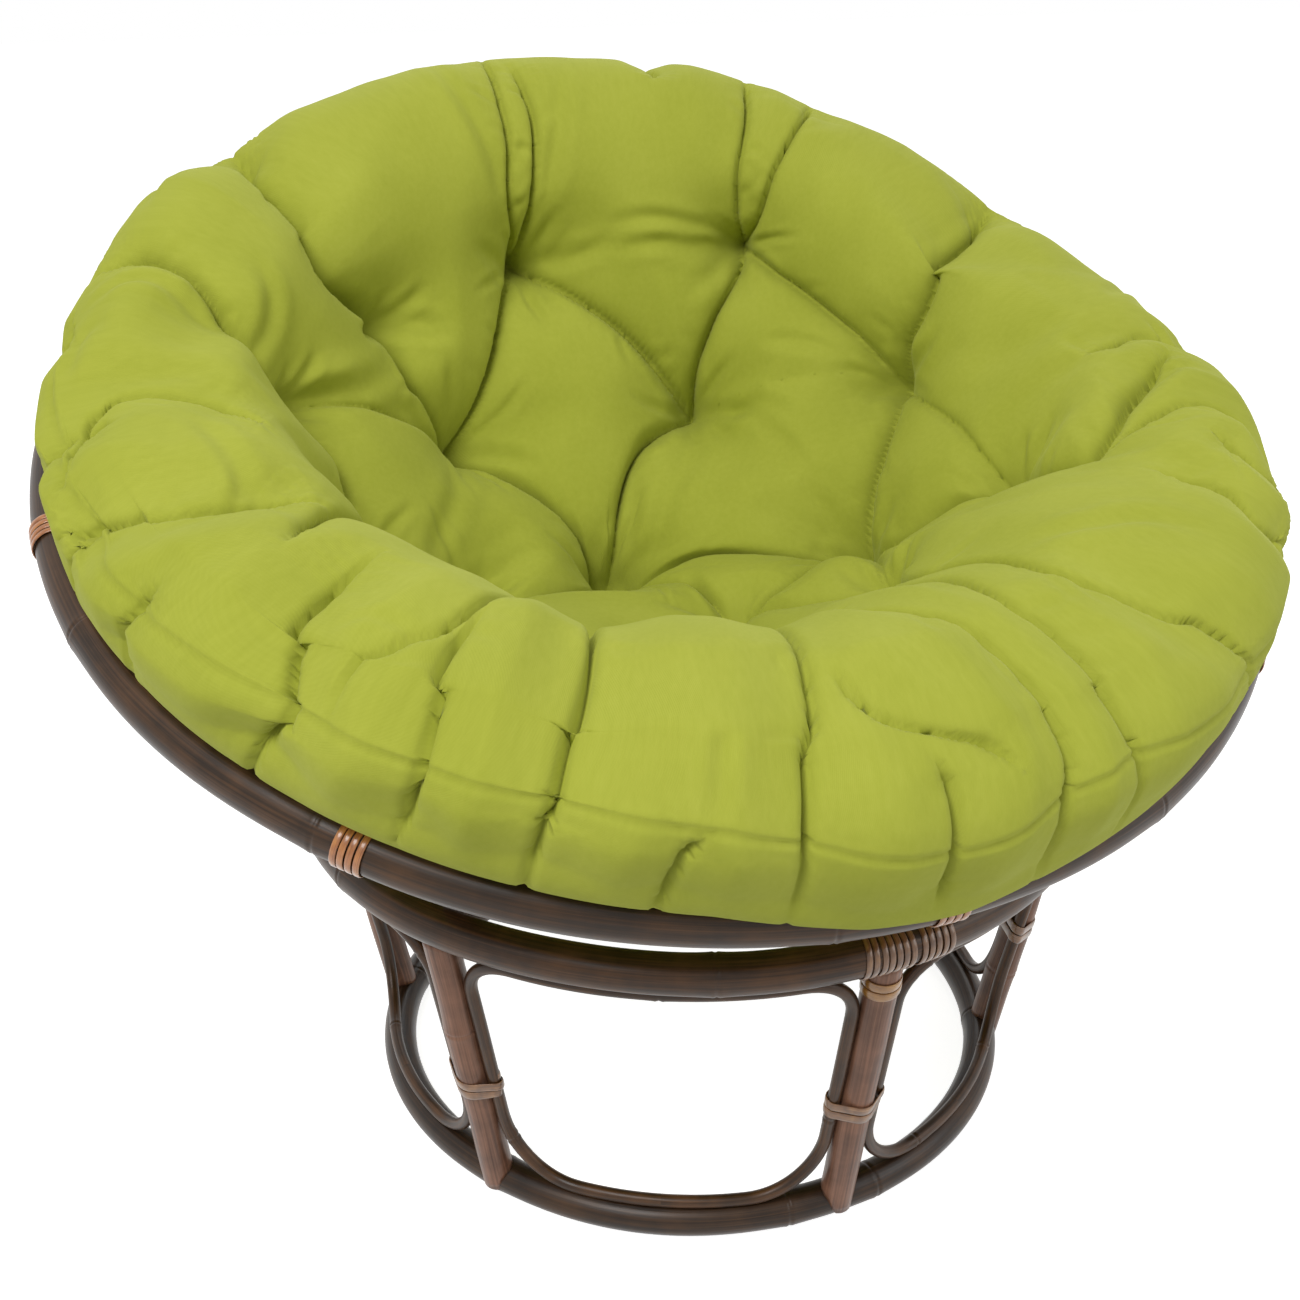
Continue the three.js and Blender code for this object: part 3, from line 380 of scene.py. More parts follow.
def loopPlace(azimuth):
    top = coneLength - stand["topPole"] - stand["loopRod"] - stand["gap"]
    low = stand["bottomPole"] + stand["loopRod"] + stand["gap"]
    beside = stand["legPole"] + stand["loopRod"] + stand["gap"]
    radiusAt = lambda up: stand["bottomRadius"] + coneRun[0] * up / coneLength
    halfTurnAt = lambda up: turn / stand["legs"] / 2 - np.arcsin(beside / radiusAt(up))
    half = radiusAt((top + low) / 2) * halfTurnAt((top + low) / 2)
    arc = lambda x, y, r, start: np.stack([x + r * np.cos(start + np.linspace(0, turn / 4, 24)),
                                           y + r * np.sin(start + np.linspace(0, turn / 4, 24))], -1)
    t, u = stand["topCorner"], stand["bottomCorner"]
    flat = np.vstack([[[0, low]], arc(half - u, low + u, u, -turn / 4), arc(half - t, top - t, t, 0),
                      arc(t - half, top - t, t, turn / 4), arc(u - half, low + u, u, turn / 2), [[0, low]]])
    run = np.concatenate([[0], np.cumsum(np.linalg.norm(np.diff(flat, axis=0), axis=1))])

    def place(spots):
        wrapped = spots % run[-1]
        x, y = np.interp(wrapped, run, flat[:, 0]), np.interp(wrapped, run, flat[:, 1])
        angle = azimuth * degree + x / half * halfTurnAt(y)
        middle = aroundZ(radiusAt(y), angle, stand["bottomHeight"] + coneRun[1] * y / coneLength)
        out = aroundZ(np.cos(coneLean), angle, -np.sin(coneLean))
        ahead, back = (spots + 1) % run[-1], (spots - 1) % run[-1]
        dx = np.interp(ahead, run, flat[:, 0]) - np.interp(back, run, flat[:, 0])
        dy = np.interp(ahead, run, flat[:, 1]) - np.interp(back, run, flat[:, 1])
        sideways, upwards = aroundZ(1, angle + turn / 4, 0), aroundZ(np.sin(coneLean), angle, np.cos(coneLean))
        way = unit(dx[..., None] * sideways + dy[..., None] * upwards)
        return inBase(middle), out, np.cross(out, way)
    return place, run[-1]


for k in range(stand["legs"]):
    place, length = loopPlace(stand["firstLeg"] + 30 + 60 * k)
    name = f"panelLoop{k + 1}"
    piece = pole(name, place, length, stand["loopRod"], 30 + k, "base", walnutRattan, closed=True,
                 form=loopCane)
    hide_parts(f"panel_loop_{k + 1}")

place = ringPlace(basket["rimRadius"], basket["rimHeight"], inBowl, basket["firstRib"])
bowlRim = pole("bowlRim", place, turn * basket["rimRadius"], basket["rimPole"], 50, "bowl",
               darkRattan, closed=True)
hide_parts("bowl_rim")
place = ringPlace(basket["ringRadius"], basket["ringHeight"], inBowl, basket["firstRib"])
bowlRing = pole("bowlBottomRing", place, turn * basket["ringRadius"], basket["ringPole"], 51, "bowl",
                darkRattan, closed=True)
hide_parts("bowl_bottom_ring")


def ribPlace(azimuth):
    azimuth = azimuth * degree

    def place(spots):
        polar = basket["ribStart"] * degree + spots / basket["ribSphere"]
        out = aroundZ(np.sin(polar), azimuth, -np.cos(polar))
        side = aroundZ(1, azimuth + turn / 4, 0) + 0 * spots[..., None]
        return inBowl(basket["ribSphere"] * out), turnX(out, bowl["tilt"]), turnX(side, bowl["tilt"])
    return place, (bowl["rimAngle"] - basket["ribStart"]) * degree * basket["ribSphere"]


def ribCope(points):
    level = turnX(points - bowlCentre, -bowl["tilt"])
    return np.minimum(toRing(level, basket["rimRadius"], basket["rimHeight"], basket["rimPole"] + stand["gap"]),
                      toRing(level, basket["ringRadius"], basket["ringHeight"], basket["ringPole"] + stand["gap"]))


for k in range(basket["ribs"]):
    place, length = ribPlace(basket["firstRib"] + 45 * k)
    name = f"rib{k + 1}"
    piece = pole(name, place, length, basket["ribPole"] - basket["ribSlack"], 60 + k, "bowl", redRattan,
                        cope=ribCope)
    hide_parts(f"rib_{k + 1}")
print("loops, rim and ribs made")


peel = {"thick": 1.3, "apart": 0.9, "turnStations": 40, "tuck": 26, "tuckDepth": 1.9, "jitter": 0.22}


def stripSection(width, thick, sides=14):  # flat underneath, domed on top, with rounded edges
    angles = np.arange(sides) / sides * turn
    x = np.sign(np.cos(angles)) * np.abs(np.cos(angles)) ** 0.55 * width / 2
    y = np.sign(np.sin(angles)) * np.abs(np.sin(angles)) ** 0.8 * thick / 2
    y = np.where(y > 0, y * (1.35 - 0.35 * (2 * x / width) ** 2), y)
    return np.stack([x, y], -1)


# A strip follows its line with its flat side down. Its first and last stretches dive under the
# surface that it is wound on, as a tucked end does.
def strip(name, line, out, width, seed, body, material):
    run = np.concatenate([[0], np.cumsum(np.linalg.norm(np.diff(line, axis=0), axis=1))])
    way = unit(np.gradient(line, run, axis=0))
    side = unit(np.cross(way, out))
    out = unit(np.cross(side, way))
    dive = np.clip(1 - np.minimum(run, run[-1] - run) / peel["tuck"], 0, 1) ** 2
    section = stripSection(width, peel["thick"])
    narrow = 1 - 0.25 * dive
    middle = line - out * (dive * peel["tuckDepth"])[:, None]
    across = section[None, :, :1] * narrow[:, None, None] * side[:, None]
    rows = middle[:, None] + across + section[None, :, 1:] * out[:, None]
    return skin(name, rows, body, material, alongMm=np.append(run, run[-1]) + 313.0 * seed, roundMm=section)


def helix(turns, pitch, seed):  # swing round the pole, and how far along it, with a hand's unevenness
    dice = np.random.default_rng(seed)
    swing = np.linspace(0, turns * turn, int(turns * peel["turnStations"]) + 1)
    knots = np.arange(0, turns + 1.01, 0.5)
    uneven = np.interp(swing / turn, knots, dice.normal(0, peel["jitter"], len(knots)))
    return swing, swing / turn * pitch + uneven


def ringWinding(name, radius, height, tube, where, azimuth, fromArc, turns, width, seed, body, material,
                startSwing=0.0, fan=0.0):
    swing, along = helix(turns, width + peel["apart"], seed)
    swing = swing + startSwing * degree
    middle = turns * (width + peel["apart"]) / 2
    # Turns spread a little on the outer side of the ring, where it is longer, and fan out.
    angle = azimuth * degree + (fromArc + along + fan * (along / middle - 1) * np.cos(swing)) / radius
    lift = tube + stand["gap"] + peel["thick"] / 2
    out = aroundZ(np.cos(swing), angle, np.sin(swing))
    line = aroundZ(radius, angle, height) + lift * out
    origin = where(np.zeros(3))
    return strip(name, where(line), where(out) - origin, width, seed, body, material)


lashing = {"left": (-25.9, 7), "right": (19.7, 5), "width": 4.8}
for k, side in enumerate(("left", "right")):
    fromArc, turns = lashing[side]
    name = f"ringLashing{side.capitalize()}"
    piece = ringWinding(name, stand["topRadius"], stand["topHeight"], stand["topPole"], inBase,
                        stand["firstLeg"], fromArc, turns, lashing["width"], 80 + k, "base",
                        brownPeel, startSwing=180, fan=1.4)
    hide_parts(f"ring_lashing_{side}")

rimBinding = {"from": -40.9, "turns": 4, "width": 5.0}
for k in range(basket["ribs"]):
    name = f"rimBinding{k + 1}"
    piece = ringWinding(name, basket["rimRadius"], basket["rimHeight"], basket["rimPole"], inBowl,
                        basket["firstRib"] + 45 * k, rimBinding["from"], rimBinding["turns"],
                        rimBinding["width"], 90 + k, "bowl", amberPeel, startSwing=150)
    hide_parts(f"rim_binding_{k + 1}")

collar = {"down": 33.7, "turns": 2, "width": 8.0}
place, length = legPlace(stand["firstLeg"])
pitch = collar["width"] + peel["apart"]
swing, along = helix(collar["turns"], pitch, 99)
middle, out, side = place(length - collar["down"] + along - collar["turns"] * pitch / 2)
swing = swing + np.pi / 2
facing = np.cos(swing)[:, None] * out + np.sin(swing)[:, None] * side
lift = stand["legPole"] + stand["gap"] + peel["thick"] / 2
legCollar = strip("legCollar", middle + lift * facing, facing, collar["width"], 99, "base",
                            goldPeel)
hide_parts("leg_collar")


# A strap is pulled tight round a leg and the loop rod on each side of it, so in each direction it
# lies on the rod that reaches furthest that way, and runs straight from one to the next.
strap = {"height": 137.1, "turns": 2, "width": 8.5, "step": 2.2}


def strapLine(azimuth, seed):
    reach = stand["legPole"] + stand["loopRod"] + stand["gap"]
    pitch = strap["width"] + peel["apart"]
    swing, up = helix(strap["turns"], pitch, seed)
    swing, up = np.repeat(swing, 3), np.repeat(up, 3)
    swing = np.linspace(swing[0], swing[-1], len(swing))
    up = up - strap["turns"] * pitch / 2
    legLean = np.arctan2(stand["topRadius"] - stand["footRadius"], stand["topHeight"] - stand["footHeight"])
    height = strap["height"] + up * np.cos(legLean)
    legRadius = stand["footRadius"] + (height - stand["footHeight"]) * np.tan(legLean)
    coneRadius = stand["bottomRadius"] + (height - stand["bottomHeight"]) * coneRun[0] / coneRun[1]
    outset = (np.sqrt(coneRadius ** 2 - reach ** 2) - legRadius) * np.cos(legLean)
    zero = 0 * outset
    across = np.stack([zero, zero + reach, zero - reach])
    outward = np.stack([zero, outset, outset])
    size = np.array([stand["legPole"], stand["loopRod"], stand["loopRod"]])[:, None]
    cos, sin = np.cos(swing), np.sin(swing)
    best = np.argmax(across * cos + outward * sin + size, 0)
    pick = (best, np.arange(len(swing)))
    lift = np.broadcast_to(size, across.shape)[pick] + stand["gap"] + peel["thick"] / 2
    x, y = across[pick] + lift * cos, outward[pick] + lift * sin
    place, length = legPlace(azimuth)
    middle, out, side = place((height - stand["footHeight"]) / np.cos(legLean))
    line = middle + y[:, None] * out + x[:, None] * side
    facing = sin[:, None] * out + cos[:, None] * side
    run = np.concatenate([[0], np.cumsum(np.linalg.norm(np.diff(line, axis=0), axis=1))])
    even = np.linspace(0, run[-1], int(run[-1] / strap["step"]))
    resample = lambda values: np.stack([np.interp(even, run, values[:, k]) for k in range(3)], -1)
    return resample(line), unit(resample(facing))


for k in range(stand["legs"]):
    line, out = strapLine(stand["firstLeg"] + 60 * k, 110 + k)
    name = f"legStrap{k + 1}"
    piece = strip(name, line, out, strap["width"], 110 + k, "base", brownPeel)
    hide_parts(f"leg_strap_{k + 1}")
print("windings made")


# The cushion's section is a row of points from its middle out over the roll, down its side to the
# rim and back underneath. Inner rows are angles and distances from the bowl's centre, in a pattern
# that leans back with the bowl and a little more. Outer rows are radii and heights over the rim.
cushion = {
    "lean": 12, "under": 527.0, "underAngles": (66, 52, 36, 18, 2), "rimClear": 22.6, "startIn": 10.0,
    # how far the cover bulges between two ribs, from and to which angle from the bottom, and the fade
    "bulge": 9, "bulgeFrom": 20, "bulgeTo": 62, "bulgeFade": 14,
    "innerAngles": (0, 13, 26, 38, 48), "innerFront": (385, 373, 360, 347, 336),
    "innerSide": (385, 379, 372, 365, 360), "innerBack": (385, 382, 380, 378, 377),
    "wallFront": ((252, -8), (318, 70), (388, 0.78)), "wallSide": ((322, 20), (362, 66), (412, 0.84)),
    "wallBack": ((352, 64), (380, 112), (425, 0.93)),
    # the roll's side is an arc: where it starts, how far it stands out, at which turn it ends, how
    # far under its middle that is as a share of its height, and how far out its lower edge is
    "sideFrom": 474, "sideOut": 88, "sideEnd": 131, "lowShare": 0.656, "edgeOut": 541, "seamSag": 28,
    # height of the roll's crest, of the seam and of the lower edge over the rim, and how far the
    # side stands in, all by degrees round from the front
    "crest": ((-180, 149), (-166, 149), (-150, 134), (-142, 124), (-130, 131), (-113, 104), (-98, 92), (-75, 120),
              (-40, 160), (0, 158), (30, 150), (55, 132), (75, 112), (88, 93), (103, 85), (120, 92), (132, 116),
              (143, 129), (160, 149), (180, 149)),
    "seam": ((-180, 80), (-120, 80), (-90, 85), (-62, 118), (-50, 140), (-40, 136), (-28, 140), (-16, 132), (-8, 108),
             (0, 94), (8, 112), (14, 122), (25, 104), (45, 80), (90, 40), (120, 50), (150, 78), (180, 80)),
    "edge": ((-180, 24), (-75, 24), (-66, 36), (-52, 42), (-30, 40), (-16, 35), (-5, 13), (3, 8), (12, 19), (22, 24),
             (60, 22), (180, 24)),
    "inset": ((-180, -6), (-150, -14), (-130, -28), (-110, -36), (-90, -38), (-72, -30), (-50, -9), (-30, 2), (0, 3),
              (15, -6), (30, -18), (50, -32), (75, -40), (95, -38), (120, -26), (150, -10), (180, -6)),
    "seamRow": 11, "edgeRow": 14, "lastRow": 22,
    "patternReach": 420,  # the twill's pattern is laid out at this distance for each unit of angle
}


def byTable(name, degrees):
    spots, values = np.array(cushion[name], float).T
    return np.interp(degrees, spots, values)


def padRows(columns):
    angle = np.arange(columns) / columns * turn
    front, back = np.clip(np.cos(angle), 0, 1) ** 1.3, np.clip(-np.cos(angle), 0, 1) ** 1.3
    mix = lambda f, m, k: front * f + (1 - front - back) * m + back * k
    rows = []
    for k, polar in enumerate(cushion["innerAngles"]):
        distance = mix(cushion["innerFront"][k], cushion["innerSide"][k], cushion["innerBack"][k])
        direction = aroundZ(np.sin(polar * degree), angle, -np.cos(polar * degree))
        rows.append(turnX(direction, cushion["lean"]) * distance[:, None])
    far = turnX(aroundZ(np.sin(75 * degree), angle, -np.cos(75 * degree)), cushion["lean"])  # out at the roll
    swing = np.arctan2(far[:, 0], -far[:, 1])
    crest, seam, edge, inset = [byTable(n, swing / degree) for n in ("crest", "seam", "edge", "inset")]
    level = lambda radius, height: aroundZ(radius, swing, height + basket["rimHeight"])
    for k in range(3):
        radius, height = [mix(*[cushion[wall][k][n] for wall in ("wallFront", "wallSide", "wallBack")])
                          for n in (0, 1)]
        rows.append(level(radius + 0.3 * inset, height * (crest if k == 2 else 1)))
    # The roll's side: radius sideFrom + sideOut sin a, height middle + half cos a, where half differs
    # over and under the middle. The seam lies on it at its own height.
    middle = (crest + edge) / 2
    halfOver, halfUnder = crest - middle, (middle - edge) / cushion["lowShare"]

    def turnAt(height):
        half = np.where(height > middle, halfOver, halfUnder)
        return np.arccos(np.clip((height - middle) / half, -0.6, 0.92))

    atSeam = turnAt(seam - cushion["seamSag"] * (1 - np.sin(turnAt(seam))))
    for share in (0, 0.36, 0.72, 1, 1.36, 1.72, 2):
        a = atSeam * min(share, 1) + (cushion["sideEnd"] * degree - atSeam) * max(share - 1, 0)
        height = middle + np.where(a < turn / 4, halfOver, halfUnder) * np.cos(a)
        inward = inset * min(0.5 + 0.5 * share, 1.4 - 0.4 * share)
        rows.append(level(cushion["sideFrom"] + cushion["sideOut"] * np.sin(a) + inward, height))
    # From the edge the cover laps round the rim, and then follows the ribs.
    edgeTurn = np.arctan2(cushion["edgeOut"] + 0.6 * inset - basket["rimRadius"], edge)
    for share in (0.66, 0.33, 0.04):
        facing = share * edgeTurn - (1 - share) * bowl["rimAngle"] * degree
        beyond, above = cushion["rimClear"] * np.sin(facing), cushion["rimClear"] * np.cos(facing)
        rows.append(level(basket["rimRadius"] + beyond, above))
    for polar in cushion["underAngles"]:
        rows.append(cushion["under"] * aroundZ(np.sin(polar * degree), swing, -np.cos(polar * degree)))
    return inBowl(np.array(rows))


# Catmull-Rom through the rows: each point is a cubic of the four rows around it.
def between(rows, spots):
    last = len(rows) - 1
    i = np.clip(np.floor(spots).astype(int), 0, last - 1)
    u = (spots - i).reshape(-1, *[1] * (rows.ndim - 1))
    p, q = rows[i], rows[i + 1]
    o = np.where((i == 0).reshape(u.shape), 2 * p - q, rows[np.maximum(i - 1, 0)])
    r = np.where((i == last - 1).reshape(u.shape), 2 * q - p, rows[np.minimum(i + 2, last)])
    return 0.5 * (2 * p + (q - o) * u + (2 * o - 5 * p + 4 * q - r) * u ** 2 + (3 * p - o - 3 * q + r) * u ** 3)


# A grid of values on the pad, read between its rows and columns. Spots are the grid's row places.
def onGrid(grid, spots, row, degrees):
    across = np.interp(row, spots, np.arange(len(spots)))
    column = (np.asarray(degrees, float) % 360) / 360 * grid.shape[1]
    i, j = np.clip(across.astype(int), 0, len(spots) - 2), column.astype(int) % grid.shape[1]
    u, v = (across - i)[..., None], (column - np.floor(column))[..., None]
    k = (j + 1) % grid.shape[1]
    return (grid[i, j] * (1 - u) + grid[i + 1, j] * u) * (1 - v) + (grid[i, k] * (1 - u) + grid[i + 1, k] * u) * v


# Where a grid's rows lie, so that they are about stepMm apart above the edge and underMm apart under it.
def rowPlaces(rows, stepMm, underMm):
    fine = np.linspace(0, len(rows) - 1, 40 * (len(rows) - 1) + 1)
    line = between(rows[:, ::len(rows[0]) // 12], fine)
    gap = np.linalg.norm(np.diff(line, axis=0), axis=2).mean(1)
    count = np.cumsum(gap / np.where(fine[1:] <= cushion["edgeRow"] + 0.5, stepMm, underMm))
    return np.interp(np.arange(1, int(count[-1]) + 1), np.concatenate([[0], count]), fine)


def padNormals(grid):
    normal = np.cross(np.gradient(grid, axis=0), np.roll(grid, -1, 1) - np.roll(grid, 1, 1))
    normal[0] = normal[2].mean(0)
    return unit(normal)


padTable = {"columns": 720, "perRow": 16}
padSpots = np.linspace(0, cushion["lastRow"], cushion["lastRow"] * padTable["perRow"] + 1)
pad = between(padRows(padTable["columns"]), padSpots)
padOut = padNormals(pad)


def onPad(row, degrees):  # the place on the plain pad at a row and an angle round the pattern
    return onGrid(pad, padSpots, row, degrees)


# Tufts: row, degrees, how deep they pull, and how far round them the pull reaches.
tufts = {
    "middle": (0.0, 0, 80, 120), "a": (2.2, 143, 84, 115), "b": (2.6, 71, 78, 110), "c": (1.8, 26, 52, 95),
    "d": (1.95, -72, 66, 110), "e": (2.08, -141, 88, 118), "k1": (3.85, -174, 84, 112), "k2": (4.45, 147, 80, 108),
    "k3": (4.05, 105, 80, 110), "k4": (4.85, 70, 66, 105), "k5": (3.85, 42, 56, 95), "k6": (3.5, -79, 60, 105),
    "k7": (4.6, -109, 70, 108), "k8": (3.9, -139, 52, 90), "k9": (3.7, -38, 58, 100), "k10": (3.9, 1, 56, 100),
}
tuftAt = {name: place[:2] for name, place in tufts.items()}
# Creases: the tufts and places that each runs through, its depth, its reach, and how deep its slit
# is. First those from tuft to tuft, then those that run out over the roll.
creases = [
    (["middle", (0.83, 161), (1.5, 155), "a"], 44, 95, 8),
    (["middle", (0.67, -148), (1.42, -143), "e"], 50, 100, 9),
    (["middle", (0.92, 74), (1.92, 69), "b"], 36, 85, 6), (["middle", (1.0, 33), "c"], 22, 60, 4),
    (["middle", (1.33, -58), "d"], 34, 85, 5), (["e", (2.5, -155), (3.42, -168), "k1"], 44, 95, 9),
    (["k1", (3.17, 173.5), (2.67, 160.5), "a"], 42, 95, 8),
    (["a", (2.83, 145.5), (4.0, 144), "k2"], 44, 90, 9),
    (["k2", (4.25, 131.5), (4.17, 117), "k3"], 38, 90, 6),
    (["k3", (3.67, 95), (3.08, 85), "b"], 42, 90, 8),
    (["k3", (4.5, 86), "k4"], 22, 80, 3), (["b", (3.75, 65.5), "k4"], 36, 85, 5),
    (["e", (3.0, -136), "k8"], 48, 95, 9), (["e", (2.9, -124), (3.9, -113), "k7"], 30, 90, 3),
    (["k7", (4.2, -103), (3.75, -94), "k6"], 40, 90, 8),
    (["a", (2.8, 124), (3.6, 112), "k3"], 8, 60, 0),
    (["a", (2.35, 122), (2.25, 95), "b"], 8, 60, 0), (["d", (2.7, -77), "k6"], 34, 85, 5),
    (["d", (2.9, -55), "k9"], 30, 80, 5), (["c", (2.8, -18), "k9"], 24, 75, 4),
    (["c", (2.8, 10), "k10"], 28, 75, 4),
    (["c", (2.2, 45), "b"], 30, 70, 4), (["c", (2.9, 34), "k5"], 26, 70, 4),
    (["b", (3.2, 56), "k5"], 30, 75, 4),
    (["k1", (4.92, -172), (6.08, -173), (7.08, -173.5), (8.8, -174.5)], 9, 34, 9),
    (["k1", (5.75, -177), (6.75, -177.5), (8.0, -177)], 9, 34, 9),
    (["k2", (5.42, 150.5), (6.92, 150.5), (8.7, 152)], 10, 38, 8),
    (["k2", (5.83, 145), (7.58, 143), (8.9, 143)], 11, 38, 8),
    (["k3", (4.92, 112), (6.92, 115), (9.9, 118)], 42, 84, 9),
    (["k4", (6.0, 58), (6.5, 62), (7.0, 70), (8.0, 79.5)], 32, 70, 8),
    ([(10.4, -142), (8.83, -140), (6.5, -136.5), (5.25, -135), "k8"], 50, 90, 9),
    ([(9.9, -113.5), (8.5, -115.5), (7.25, -114.5), (6.33, -110), "k7"], 30, 66, 9),
    ([(9.9, -81.5), (9.17, -88.5), (8.33, -90.5), (7.33, -91.5), (5.8, -84)], 15, 42, 8),
    ([(7.92, -86), (9.0, -87), (11.4, -80)], 8, 30, 7),
    ([(12.8, -76), (9.25, -72.5), (8.67, -71.5), (7.5, -69), (6.0, -66)], 24, 52, 11),
    (["k6", (5.6, -66), (7.4, -56)], 18, 60, 5),
    ([(6.6, -50), (7.42, -49.5), (8.58, -47.5), (10.92, -44.5), (12.25, -45), (14.7, -48)], 20, 42, 11),
    (["k9", (7.0, -36.5), (7.83, -39.5), (8.75, -41.5), (11.0, -41)], 10, 30, 7),
    ([(6.9, -35.8), (7.83, -35.5), (8.83, -34.5), (10.92, -34), (12.58, -34.5), (14.0, -35.5)], 12, 34, 8),
    (["k9", (6.92, -25.5), (8.83, -25.5), (11.0, -25.5), (12.25, -26), (14.7, -27)], 19, 42, 11),
    ([(11.0, -16), (12.0, -17.5), (14.4, -18.5)], 7, 26, 5),
    (["k10", (7.5, -8), (8.33, -9.5), (10.92, -10), (12.08, -10), (14.3, -10)], 13, 36, 8),
    ([(7.4, -6), (7.92, -4), (8.3, -0.5), (8.6, 1.5), (9.0, 3.5), (9.6, 4.8)], 8, 26, 6),
    ([(8.75, -1.5), (9.5, -0.5), (11.42, -0.5), (13.2, 0)], 8, 26, 6),
    (["k10", (6.6, 8), (7.5, 9.5), (8.33, 9.5), (9.67, 9), (11.58, 8), (14.2, 8)], 12, 32, 8),
    (["k5", (6.6, 17), (7.42, 16), (8.25, 15), (9.67, 14.5), (11.83, 15), (13.6, 15)], 12, 32, 8),
    (["k5", (6.3, 26), (6.92, 24), (7.83, 26), (8.83, 28.5), (9.92, 30), (12.4, 32)], 15, 42, 8),
    ([(7.0, 49.5), (7.58, 49), (8.92, 46.5), (10.92, 49.5)], 14, 34, 8),
    ([(7.67, 58.5), (8.5, 55), (10.08, 55.5)], 10, 28, 6),
    ([(6.6, 80), (7.17, 82.5), (8.0, 85), (8.9, 83), (10.2, 80)], 13, 34, 8),
    ([(6.5, 59), (7.58, 66), (8.83, 66), (9.42, 61.5), (9.9, 54)], 14, 34, 8),
    ([(7.33, 164.5), (7.83, 164), (8.6, 165), (9.8, 165.5)], 8, 22, 7),
]
creases = [([tuftAt.get(place, place) for place in through], *rest) for through, *rest in creases]
# Folds are narrower: the places that each runs through, its depth and how wide it is.
folds = [
    ([(6.3, 30), (6.83, 33), (7.25, 37), (7.9, 38)], 4, 9), ([(1.92, 135.5), (0.75, 117.5), (0.33, 31)], 3, 10),
    ([(0.58, 13.5), (0.92, 11), (1.5, 4)], 2, 3), ([(2.0, -127.5), (2.25, -93.5), (2.75, -75)], 3, 10),
    ([(2.25, 137.5), (2.42, 125), (2.42, 109.5), (2.5, 86)], 2.5, 8),
    ([(3.25, 131.5), (3.58, 123.5), (3.92, 112.5)], 3, 7),
    ([(2.08, 132), (2.58, 123), (2.75, 103)], 3, 8),
    ([(4.3, -170), (5.33, -170), (7.08, -167.5), (8.67, -167)], 3, 8),
    ([(4.2, -175.5), (6.75, 178), (8.42, 176)], 3.5, 8), ([(4.6, 149), (4.6, 163), (4.4, 172)], 3.5, 7),
    ([(4.3, 149), (4.3, 158), (4.0, 170)], 3.5, 7), ([(6.5, -107), (7.83, -110.5), (9.83, -106)], 3.5, 7),
    ([(5.42, -104), (5.67, -116), (6.58, -122)], 4, 9), ([(4.83, -106), (3.92, -116), (3.33, -131)], 6, 11),
    ([(2.33, -133), (2.83, -128), (3.5, -118.5)], 5, 10), ([(7.0, -84.5), (6.75, -73), (6.83, -65)], 3, 9),
    ([(12.17, -60.5), (13.17, -60.5), (14.5, -61.5)], 3, 5),
    ([(9.83, -94.5), (9.17, -102), (7.92, -102)], 3, 9),
    ([(6.67, 65.5), (7.67, 73.5), (8.58, 73.5)], 4, 8), ([(7.83, 92.5), (9.0, 96), (10.08, 95)], 3, 8),
    ([(8.4, 88), (8.7, 84), (8.9, 80)], 4, 5), ([(8.2, -15), (9.17, -15.5), (10.6, -15.5)], 3.5, 6),
    ([(9.0, -122), (9.4, -128), (9.8, -136)], 3, 8),
]
# How a crease lies: its middle is shallower, it fades at an end that is no tuft, and those of a
# short reach, over the roll, are wider and soft.
creaseForm = {"middleShare": 0.72, "fade": 0.18, "fadeTo": 0.12, "valleySoft": 0.035, "softUnder": 60,
              "softSpread": 1.45}
fineWork = {"slitDeep": 2.0, "slitWide": 2.3, "seamDeep": 2.2, "seamWide": 2.2, "seamLip": 0.7,
            "pleats": (7, 11), "pleatLong": (40, 105), "pleatDeep": (2.0, 4.8), "pleatWide": (4, 8),
            "puckerLong": (24, 62), "puckerDeep": (0.7, 2.0), "puckerWide": (4, 7), "puckerStep": 0.6,
            "puckerSlit": 5, "puckerRow": 8, "mmPerRow": 87.0, "easings": 6}

# Round the back of the roll the side is gathered at uneven steps, as it is in front.
gathers = {"from": 62, "to": 305, "apart": 13.0}
dice = np.random.default_rng(11)
for azimuth in np.arange(gathers["from"], gathers["to"], gathers["apart"]):
    at = azimuth + dice.uniform(-4, 4)
    lean = dice.uniform(-2, 2)
    creases.append(([(dice.uniform(9.3, 10.4), at), (11.0, at + lean / 2), (12.4, at + lean), (14.3, at + lean)],
                    dice.uniform(6, 12), dice.uniform(24, 36), dice.uniform(5, 8)))


def flatSpots(spots):  # rows and degrees as places in a plane, where a line can pass the middle
    row, degrees = np.array(spots, float).T
    return np.stack([row * np.cos(degrees * degree), row * np.sin(degrees * degree)], -1)


# A short bent line from a place in that plane, as rows and degrees.
def bentLine(start, length, shares, way):
    path = start + length * np.array(shares)[:, None] * np.stack([np.cos(way), np.sin(way)], -1)
    return np.stack([np.hypot(*path.T), np.arctan2(path[:, 1], path[:, 0]) / degree], -1).tolist()


